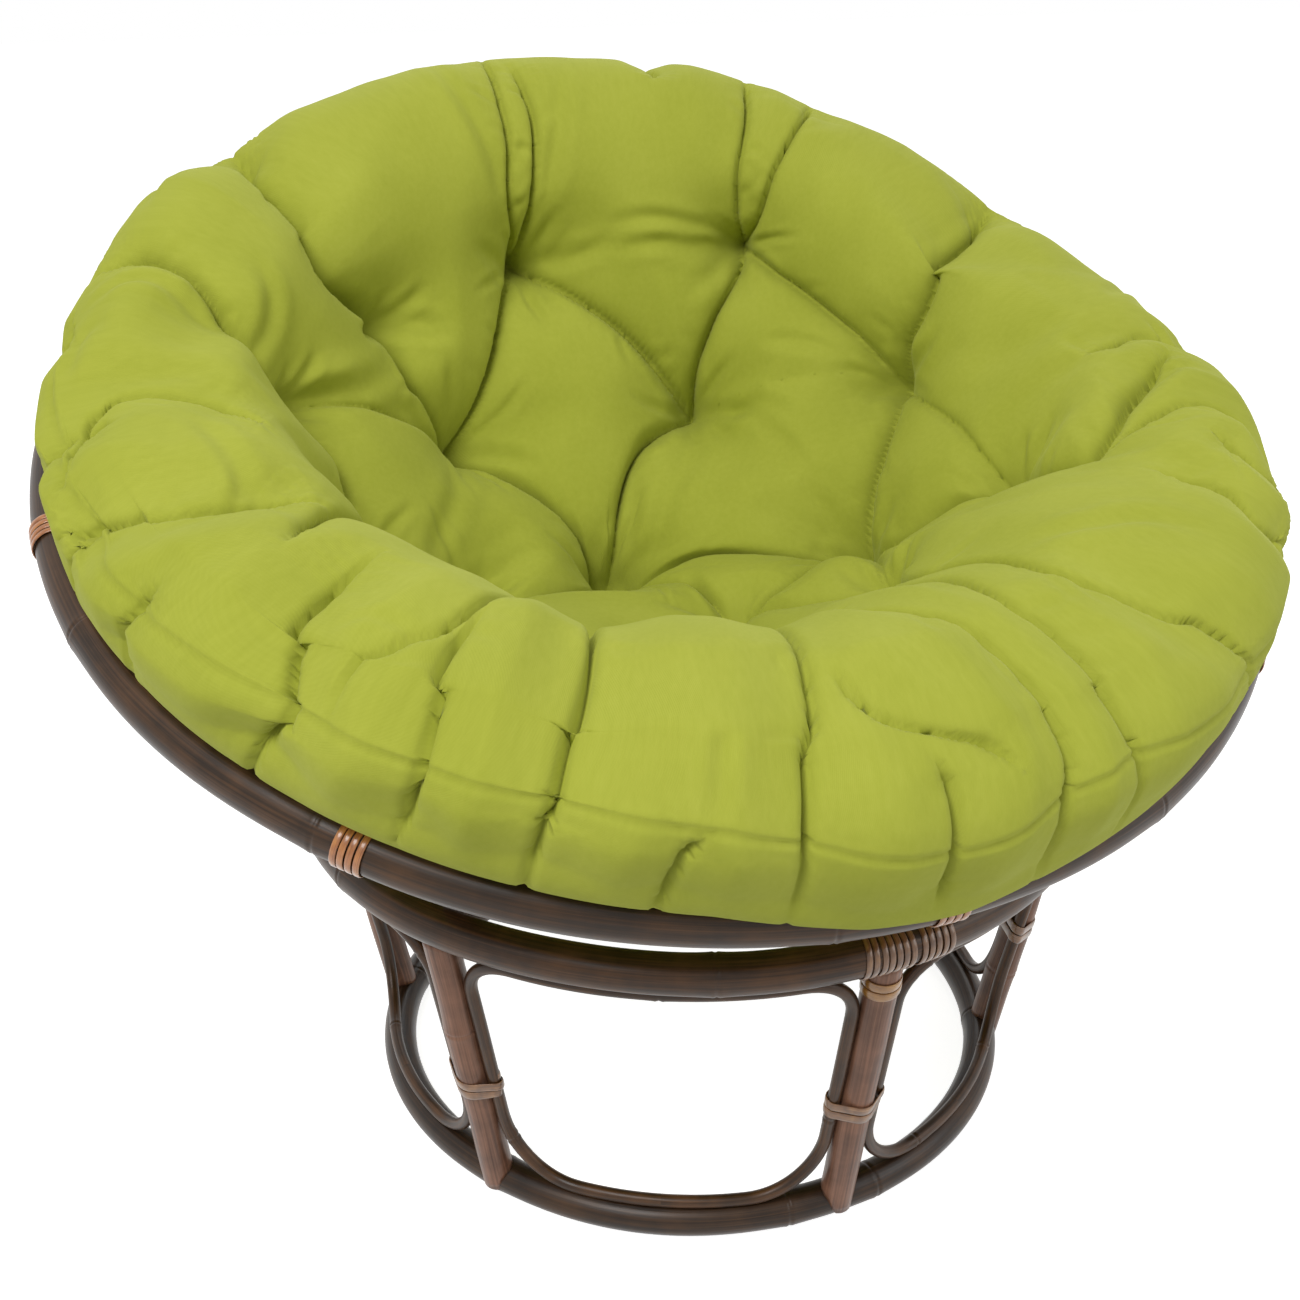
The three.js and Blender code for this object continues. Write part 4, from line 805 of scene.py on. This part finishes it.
# A line over the pad through the given places: its points every stepMm, their rows and degrees, and
# how far along it each is, as a share.
def padLine(spots, stepMm):
    flat = flatSpots(spots)
    flat = between(flat, np.linspace(0, len(flat) - 1, 24 * (len(flat) - 1) + 1))
    row, degrees = np.hypot(*flat.T), np.arctan2(flat[:, 1], flat[:, 0]) / degree
    run = np.concatenate([[0], np.cumsum(np.linalg.norm(np.diff(onPad(row, degrees), axis=0), axis=1))])
    share = np.linspace(0, 1, max(3, int(run[-1] / stepMm)))
    flat = np.stack([np.interp(share * run[-1], run, flat[:, k]) for k in range(2)], -1)
    row, degrees = np.hypot(*flat.T), np.arctan2(flat[:, 1], flat[:, 0]) / degree
    return onPad(row, degrees), row, degrees, share


def fadeEnds(spots, share):  # a crease dies away at an end that is no tuft
    fade, least = creaseForm["fade"], creaseForm["fadeTo"]
    start = share * 0 + 1 if spots[0] in tuftAt.values() else np.clip(share / fade, least, 1)
    return start if spots[-1] in tuftAt.values() else start * np.clip((1 - share) / fade, least, 1)


# A crease's pull falls away as a quarter circle, 1 - sqrt(1 - (1 - s)^2), so two puffs meet in a
# steep valley. Its bottom is rounded by adding a small constant to s, under a root.
def valley(share):
    soft = creaseForm["valleySoft"]
    circle = lambda s: 1 - np.sqrt(1 - (1 - np.clip(s, 0, 1)) ** 2)
    return circle(np.hypot(share, soft)) / circle(soft)


# The nearest of the places to each point, worked out for some points at a time to save memory.
def nearest(points, places, chunk=4000):
    distance, index = np.empty(len(points)), np.empty(len(points), int)
    square = (places ** 2).sum(1)
    for start in range(0, len(points), chunk):
        some = points[start:start + chunk]
        apart = square - 2 * some @ places.T
        index[start:start + chunk] = apart.argmin(1)
        best = np.take_along_axis(apart, index[start:start + chunk, None], 1)[:, 0] + (some ** 2).sum(1)
        distance[start:start + chunk] = np.sqrt(np.maximum(best, 0))
    return distance, index


def closeTo(points, places, reach):  # which points are near enough to a line to feel it
    return np.nonzero(np.all((points > places.min(0) - reach) & (points < places.max(0) + reach), 1))[0]


# How far the tufts and creases draw the pad in: the cube root of the sum of their pulls' cubes, so
# where they meet the deeper one counts.
def drawnIn(points):
    total = np.zeros(len(points))
    for row, degrees, depth, reach in tufts.values():
        distance = np.linalg.norm(points - onPad(row, degrees), axis=1)
        total += (depth * valley(distance / reach)) ** 3
    for spots, depth, reach, slit in creases:
        soft = reach < creaseForm["softUnder"]
        reach = creaseForm["softSpread"] * reach if soft else reach
        places, row, degrees, share = padLine(spots, 6.0)
        close = closeTo(points, places, reach)
        middle = creaseForm["middleShare"]
        depths = depth * (middle + (1 - middle) * (2 * share - 1) ** 2) * fadeEnds(spots, share)
        distance, index = nearest(points[close], places)
        away = distance / reach
        pull = np.clip(1 - away ** 2, 0, 1) ** 2 if soft else valley(away)
        total[close] += (depths[index] * pull) ** 3
    return np.cbrt(total)


# The cushion stays off the ribs, the rim and its windings.
def offFrame(points):
    level = turnX(points - bowlCentre, -bowl["tilt"])
    distance = np.linalg.norm(level, axis=1)
    polar = np.arccos(np.clip(-level[:, 2] / distance, -1, 1)) / degree
    # Under it the cover bulges between the ribs, by a share of its greatest bulge that goes round
    # with the ribs as |sin|, and dies away toward the rim and the small ring.
    around = np.arctan2(level[:, 0], -level[:, 1]) - basket["firstRib"] * degree
    fade = np.clip((cushion["bulgeTo"] - polar) / cushion["bulgeFade"], 0, 1)
    fade *= np.clip((polar - cushion["bulgeFrom"]) / cushion["bulgeFade"], 0, 1)
    limit = cushion["under"] + cushion["bulge"] * np.abs(np.sin(around * basket["ribs"] / 2)) * fade
    resting = (polar < 67) & (distance > cushion["under"] - 1)
    level = level * np.where(resting, limit / distance, 1)[:, None]
    flat = np.hypot(level[:, 0], level[:, 1])
    dr, dz = flat - basket["rimRadius"], level[:, 2] - basket["rimHeight"]
    away = np.hypot(dr, dz)
    push = np.where(away < cushion["rimClear"], cushion["rimClear"] / np.maximum(away, 1), 1)
    newFlat, newHeight = basket["rimRadius"] + dr * push, basket["rimHeight"] + dz * push
    level[:, :2] *= (newFlat / np.maximum(flat, 1e-6))[:, None]
    level[:, 2] = newHeight
    return inBowl(level)


# The cushion as sewn, at given rows and degrees: the pad, drawn in at its tufts and creases. Its
# outer side starts further in, because it swells when it is filled.
def sewn(row, degrees):
    plain, out = onPad(row, degrees), unit(onGrid(padOut, padSpots, row, degrees))
    flatRow = row.ravel()
    relief = np.zeros(len(flatRow))
    top = flatRow < cushion["edgeRow"] + 1.5
    relief[top] = drawnIn(plain.reshape(-1, 3)[top])
    fade = np.clip((cushion["edgeRow"] + 0.3 - flatRow) / 1.2, 0, 1)
    deep = (relief + cushion["startIn"] * np.clip((flatRow - 5) / 3, 0, 1)) * fade
    return plain - out * deep.reshape(row.shape)[..., None], deep.reshape(row.shape)


# Filling: a coarse copy of the sewn cushion is blown up as cloth, held at its tufts, at its creases
# in part, and where it rests on the bowl. How far each place moved is then read off the copy.
swell = {"columns": 300, "step": 9.5, "underStep": 20.0, "frames": 14, "cap": 22.0}
swellCloth = {
    "quality": 4, "mass": 0.2, "tension_stiffness": 12, "compression_stiffness": 12, "shear_stiffness": 4,
    "bending_stiffness": 0.4, "use_pressure": True, "uniform_pressure_force": 4.0, "shrink_min": -0.02,
    "shrink_max": -0.02, "vertex_group_mass": "held", "pin_stiffness": 1,
}


def readPoints(mesh):
    values = np.empty(len(mesh.vertices) * 3, np.float32)
    mesh.vertices.foreach_get("co", values)
    return values.reshape(-1, 3).astype(float) / mm


def filled():
    spots = rowPlaces(padRows(12), swell["step"], swell["underStep"])
    row, degrees = np.meshgrid(spots, np.arange(swell["columns"]) / swell["columns"] * 360, indexing="ij")
    start, deep = sewn(row, degrees)
    copy = skin("clothCopy", start, "loose_cushion", limeTwill)
    home = readPoints(copy.data)
    level = turnX(home - bowlCentre, -bowl["tilt"])
    resting = (np.linalg.norm(level, axis=1) > cushion["under"] - 4) | (
        toRing(level, basket["rimRadius"], basket["rimHeight"], cushion["rimClear"]) < 3)
    held = resting * 1.0  # and where it is drawn in by 40 mm or more, fully so at 74 mm
    held[: deep.size] = np.maximum(held[: deep.size], np.clip((deep.ravel() - 40) / 34, 0, 1) ** 1.5)
    held[-2:] = 1
    group = copy.vertex_groups.new(name="held")
    for weight in (0.2, 0.4, 0.6, 0.8, 1.0):
        members = np.nonzero(np.round(held * 5) / 5 == weight)[0]
        group.add(members.tolist(), weight, "REPLACE")
    cloth = copy.modifiers.new("cloth", "CLOTH")
    for key, value in swellCloth.items():
        setattr(cloth.settings, key, value)
    cloth.settings.effector_weights.gravity = 0
    cloth.collision_settings.use_collision = False
    cloth.collision_settings.use_self_collision = False
    scene = bpy.context.scene
    scene.frame_start, scene.frame_end = 1, swell["frames"]
    cloth.point_cache.frame_start, cloth.point_cache.frame_end = 1, swell["frames"]
    for frameNumber in range(1, swell["frames"] + 1):
        scene.frame_set(frameNumber)
    puffed = copy.evaluated_get(bpy.context.evaluated_depsgraph_get())
    moved = (readPoints(puffed.data) - home)[: deep.size].reshape(*deep.shape, 3)
    scene.frame_set(1)
    bpy.data.objects.remove(copy)
    for evening in range(3):  # the copy's coarse steps along the creases are evened out
        rowsBeside = np.concatenate([moved[:1], moved[:-1]]) + np.concatenate([moved[1:], moved[-1:]])
        moved = 0.4 * moved + 0.15 * (rowsBeside + np.roll(moved, 1, 1) + np.roll(moved, -1, 1))
    far = np.linalg.norm(moved, axis=2, keepdims=True)
    print("cloth moved, mm:", round(float(far.mean()), 1), round(float(far.max()), 1))
    return spots, moved * np.minimum(1, swell["cap"] / np.maximum(far, 1e-6))


# The finished cushion is a finer grid. Its points near a crease slide on to it, so that each slit
# is one clean line.
fineGrid = {"columns": 800, "step": 3.4, "underStep": 11.0}
spots = rowPlaces(padRows(12), fineGrid["step"], fineGrid["underStep"])
row, degrees = np.meshgrid(spots, np.arange(fineGrid["columns"]) / fineGrid["columns"] * 360, indexing="ij")
gridShape = row.shape
row, degrees = row.ravel(), degrees.ravel()

# Short pleats run out from each tuft at uneven angles, as the cloth is gathered by its stitch.
dice = np.random.default_rng(7)
for tuftRow, tuftDegrees, depth, reach in tufts.values():
    count = dice.integers(*fineWork["pleats"])
    ways = (np.arange(count) + dice.uniform(-0.3, 0.3, count)) / count * turn + dice.uniform(0, turn)
    start = flatSpots([(tuftRow, tuftDegrees)])[0]
    for way in ways:
        length = dice.uniform(*fineWork["pleatLong"]) / fineWork["mmPerRow"]
        shares = np.array([0.06, 0.5, 1.0])
        pleat = bentLine(start, length, shares, way + dice.uniform(-0.3, 0.3) * shares)
        folds.append((pleat, dice.uniform(*fineWork["pleatDeep"]), dice.uniform(*fineWork["pleatWide"])))

# Puckers leave the creases sideways at uneven steps, where the cloth is bunched along them.
for through, depth, reach, slit in creases:
    if slit < fineWork["puckerSlit"]:
        continue
    flat = flatSpots(through)
    for place in np.arange(dice.uniform(0.2, 0.5), len(flat) - 1, fineWork["puckerStep"]):
        here, ahead = between(flat, np.array([place, min(place + 0.1, len(flat) - 1)]))
        away = np.arctan2(*(ahead - here)[::-1]) + dice.choice([-1, 1]) * dice.uniform(0.5, 1.1)
        hereRow = np.hypot(*here)
        if hereRow > fineWork["puckerRow"]:
            continue
        mmPerRow = np.interp(hereRow, (4, 8, 12), (fineWork["mmPerRow"], 55, 40))
        pucker = bentLine(here, dice.uniform(*fineWork["puckerLong"]) / mmPerRow, (0.0, 0.5, 1.0),
                          away + np.array([0, 0.1, 0.3]))
        folds.append((pucker, dice.uniform(*fineWork["puckerDeep"]), dice.uniform(*fineWork["puckerWide"])))

# Of each row or column that a line crosses, the point next to the line is put on it.
lines = [padLine(through, 0.5) for through, depth, reach, slit in creases]
rowIndex, columnIndex = [index.ravel() for index in np.indices(gridShape)]
slide, onLine, lineVertices = np.zeros((row.size, 2)), np.zeros(row.size), []
for places, lineRow, lineDegrees, share in lines:
    down = np.interp(lineRow, spots, np.arange(len(spots)))
    across = np.unwrap(lineDegrees / 360 * gridShape[1], period=gridShape[1])
    byRow = np.abs(np.gradient(down)) > np.abs(np.gradient(across))
    apart = np.where(byRow, np.abs(down - np.round(down)), np.abs(across - np.round(across)))
    order = np.argsort(apart)[: np.count_nonzero(apart < 0.2)]
    order = order[lineRow[order] > 0.8]
    vertex = (np.round(down) * gridShape[1] + np.round(across) % gridShape[1]).astype(int)[order]
    vertex, first = np.unique(vertex, return_index=True)
    first = order[first]
    slide[vertex] = np.stack([down - np.round(down), across - np.round(across)], -1)[first]
    onLine[vertex] = 1
    lineVertices.append((vertex, share[first]))
# The points beside them slide along by less and less, so the grid stays even.
slide, onLine = slide.reshape(*gridShape, 2), onLine.reshape(gridShape)
for share in (0.75, 0.66, 0.5):
    total, count = np.zeros_like(slide), np.zeros(gridShape)
    for step in ((1, 0), (-1, 0), (0, 1), (0, -1)):
        total += np.roll(slide * onLine[..., None], step, (0, 1))
        count += np.roll(onLine, step, (0, 1))
    fresh = (onLine == 0) & (count > 0)
    slide[fresh] = share * (total / np.maximum(count, 1)[..., None])[fresh]
    onLine[fresh] = 1
slide = slide.reshape(-1, 2)
row = np.interp(rowIndex + slide[:, 0], np.arange(len(spots)), spots)
degrees = (columnIndex + slide[:, 1]) / gridShape[1] * 360
plain = onPad(row, degrees)
sewnPoints, deep = sewn(row, degrees)
simSpots, simMoved = filled()
moved = onGrid(simMoved, simSpots, row, degrees)
print("cushion filled")
points = offFrame(sewnPoints + moved).reshape(*gridShape, 3)
out = unit(onGrid(padOut, padSpots, row, degrees))

# How much further each point is drawn in by the fine work: slits along the creases, then folds,
# which have a soft lip on each side, and last the seam's groove.
fine = np.zeros(len(row))
for (places, lineRow, lineDegrees, share), (vertex, vertexShare), (through, depth, reach, slit) in zip(
        lines, lineVertices, creases):
    close = closeTo(plain, places[::3], 20)
    distance, index = nearest(plain[close], places[::3])
    slits = fineWork["slitDeep"] * slit * fadeEnds(through, share[::3])
    fine[close] = np.maximum(fine[close], np.exp(-distance / fineWork["slitWide"]) * slits[index])
    fine[vertex] = np.maximum(fine[vertex], np.interp(vertexShare, share[::3], slits))
for through, depth, wide in folds:
    places, lineRow, lineDegrees, share = padLine(through, 2.0)
    close = closeTo(plain, places, 4 * wide)
    distance, index = nearest(plain[close], places)
    taper = np.clip((1 - share) * 2.5, 0, 1) * np.clip(share * 4, 0, 1)
    profile = np.exp(-(distance / wide) ** 2) - 0.5 * np.exp(-((distance - 1.9 * wide) / wide) ** 2)
    fine[close] += (depth * taper)[index] * profile
seamPlaces = onPad(np.full(1440, float(cushion["seamRow"])), np.arange(1440) / 4)
close = np.nonzero(np.abs(row - cushion["seamRow"]) < 1.2)[0]
distance, index = nearest(plain[close], seamPlaces)
fine[close] += (fineWork["seamDeep"] * np.exp(-(distance / fineWork["seamWide"]) ** 2)
                - fineWork["seamLip"] * np.exp(-((distance - 6) / 4) ** 2))
points = points - (out * fine[:, None]).reshape(*gridShape, 3)
# Where deep folds cross, cloth can't pass through itself: the corners of squares that are turned
# over are eased to the mean of their neighbours.
for easing in range(fineWork["easings"]):
    beside = np.roll(points, -1, 1)
    squares = np.cross(beside[1:] - points[:-1], points[1:] - beside[:-1])
    facing = (squares * out.reshape(*gridShape, 3)[1:]).sum(-1)
    turned = facing * np.sign(np.median(facing)) < 0
    touched = np.zeros(gridShape, bool)
    for rowsTouched in (slice(1, None), slice(None, -1)):
        touched[rowsTouched] |= turned | np.roll(turned, 1, 1)
    withEnds = np.concatenate([points[:1], points, points[-1:]])
    mean = (withEnds[2:] + withEnds[:-2] + np.roll(points, 1, 1) + beside) / 4
    points = np.where(touched[..., None], mean, points)
points = offFrame(points.reshape(-1, 3)).reshape(*gridShape, 3)
cushionPiece = skin("tuftedCushion", points, "loose_cushion", limeTwill, depth=deep + fine)
mesh = cushionPiece.data

# "cloth" lays the pattern out flat, so the twill runs one way over each panel.
home = np.vstack([plain, plain[:1], plain[-1:]])
pattern = turnX(home - bowlCentre, -bowl["tilt"] - cushion["lean"])
reach = np.linalg.norm(pattern, axis=1)
polar = np.arccos(np.clip(-pattern[:, 2] / reach, -1, 1))
around = np.arctan2(pattern[:, 0], -pattern[:, 1])
layFlat = cushion["patternReach"] * polar[:, None] * np.stack([np.cos(around), np.sin(around), 0 * around], -1)
attribute = mesh.attributes.new("cloth", "FLOAT_VECTOR", "POINT")
attribute.data.foreach_set("vector", (layFlat * mm).astype(np.float32).ravel())
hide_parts("cushion")
print("cushion finished, faces:", len(mesh.polygons))


studio = {"floorSize": 30000, "floorShade": 0.64, "floorGlow": 0.88, "ambient": 0.42, "key": 74, "fill": 27,
          "back": 22}


# White paper: it glows a little to the camera and in reflections, so that it is white right to the
# horizon and still takes the chair's shadow.
def backdropMaterial():
    tree, shader, material = newMaterial("backdrop paper, white", Roughness=0.95, Specular_IOR_Level=0.0)
    shader.inputs["Base Color"].default_value = (*[studio["floorShade"]] * 3, 1)
    path = addNode(tree, "ShaderNodeLightPath")
    seen = addNode(tree, "ShaderNodeMath", {"operation": "MAXIMUM"}, i0=path.outputs["Is Camera Ray"],
                   i1=path.outputs["Is Glossy Ray"])
    seen = addNode(tree, "ShaderNodeMath", {"operation": "MAXIMUM"}, i0=seen.outputs[0],
                   i1=path.outputs["Is Transmission Ray"])
    strength = addNode(tree, "ShaderNodeMath", {"operation": "MULTIPLY"}, i0=seen.outputs[0], i1=studio["floorGlow"])
    glow = addNode(tree, "ShaderNodeEmission", None, Color=(1, 1, 1, 1), Strength=strength.outputs[0])
    both = addNode(tree, "ShaderNodeAddShader", None, i0=shader.outputs[0], i1=glow.outputs[0])
    tree.links.new(both.outputs[0], tree.nodes["Material Output"].inputs["Surface"])
    return material


half = studio["floorSize"] / 2 * mm
floorMesh = bpy.data.meshes.new("floor")
floorMesh.from_pydata([(-half, -half, 0), (half, -half, 0), (half, half, 0), (-half, half, 0)], [], [(0, 1, 2, 3)])
floorMesh.materials.append(backdropMaterial())
floor = bpy.data.objects.new("floor", floorMesh)
bpy.context.scene.collection.objects.link(floor)

world = bpy.data.worlds.new("studio")
bpy.context.scene.world = world
world.use_nodes = True
tree = world.node_tree
tree.nodes.clear()
path = addNode(tree, "ShaderNodeLightPath")
ambient = addNode(tree, "ShaderNodeBackground", None, Color=(1, 1, 1, 1), Strength=studio["ambient"])
white = addNode(tree, "ShaderNodeBackground", None, Color=(1, 1, 1, 1), Strength=1.0)
direct = addNode(tree, "ShaderNodeMath", {"operation": "MAXIMUM"}, i0=path.outputs["Is Camera Ray"],
                 i1=path.outputs["Is Glossy Ray"])
direct = addNode(tree, "ShaderNodeMath", {"operation": "MAXIMUM"}, i0=direct.outputs[0],
                 i1=path.outputs["Is Transmission Ray"])
mixed = addNode(tree, "ShaderNodeMixShader", None, i0=direct.outputs[0], i1=ambient.outputs[0], i2=white.outputs[0])
addNode(tree, "ShaderNodeOutputWorld", None, Surface=mixed.outputs[0])


def areaLight(name, place, aim, size, power):
    light = bpy.data.lights.new(name, "AREA")
    light.shape, light.size, light.energy = "DISK", size, power
    holder = bpy.data.objects.new(name, light)
    bpy.context.scene.collection.objects.link(holder)
    away = unit(np.array(place, float) - np.array(aim, float))
    side = unit(np.cross([0, 0, 1], away))
    up = np.cross(away, side)
    holder.matrix_world = Matrix([[side[k], up[k], away[k], place[k]] for k in range(3)] + [[0, 0, 0, 1]])


areaLight("key", (-1.7, -1.6, 3.0), (0, 0, 0.5), 1.8, studio["key"])
areaLight("fill", (2.6, -2.0, 1.8), (0, 0, 0.5), 2.2, studio["fill"])
areaLight("back", (0.6, 2.4, 2.6), (0, 0, 0.6), 1.8, studio["back"])

# The camera stands where it stood for the photograph: its place, and the three ways that it faces.
view = {"place": (-464.2157, -1260.3960, 1003.8826), "forward": (0.29920478, 0.85858083, -0.41631173),
        "right": (0.94338629, -0.33164276, -0.00594850), "up": (0.14317404, 0.39096296, 0.90920249),
        "lens": 44.358, "sensor": 36}
camera = bpy.data.objects.new("camera", bpy.data.cameras.new("camera"))
bpy.context.scene.collection.objects.link(camera)
camera.data.sensor_fit, camera.data.sensor_width, camera.data.lens = "HORIZONTAL", view["sensor"], view["lens"]
camera.data.clip_start, camera.data.clip_end = 0.05, 60
camera.matrix_world = Matrix([[view["right"][k], view["up"][k], -view["forward"][k], view["place"][k] * mm]
                              for k in range(3)] + [[0, 0, 0, 1]])
bpy.context.scene.camera = camera
bpy.context.scene.view_settings.view_transform = "Standard"

print("scene ready")
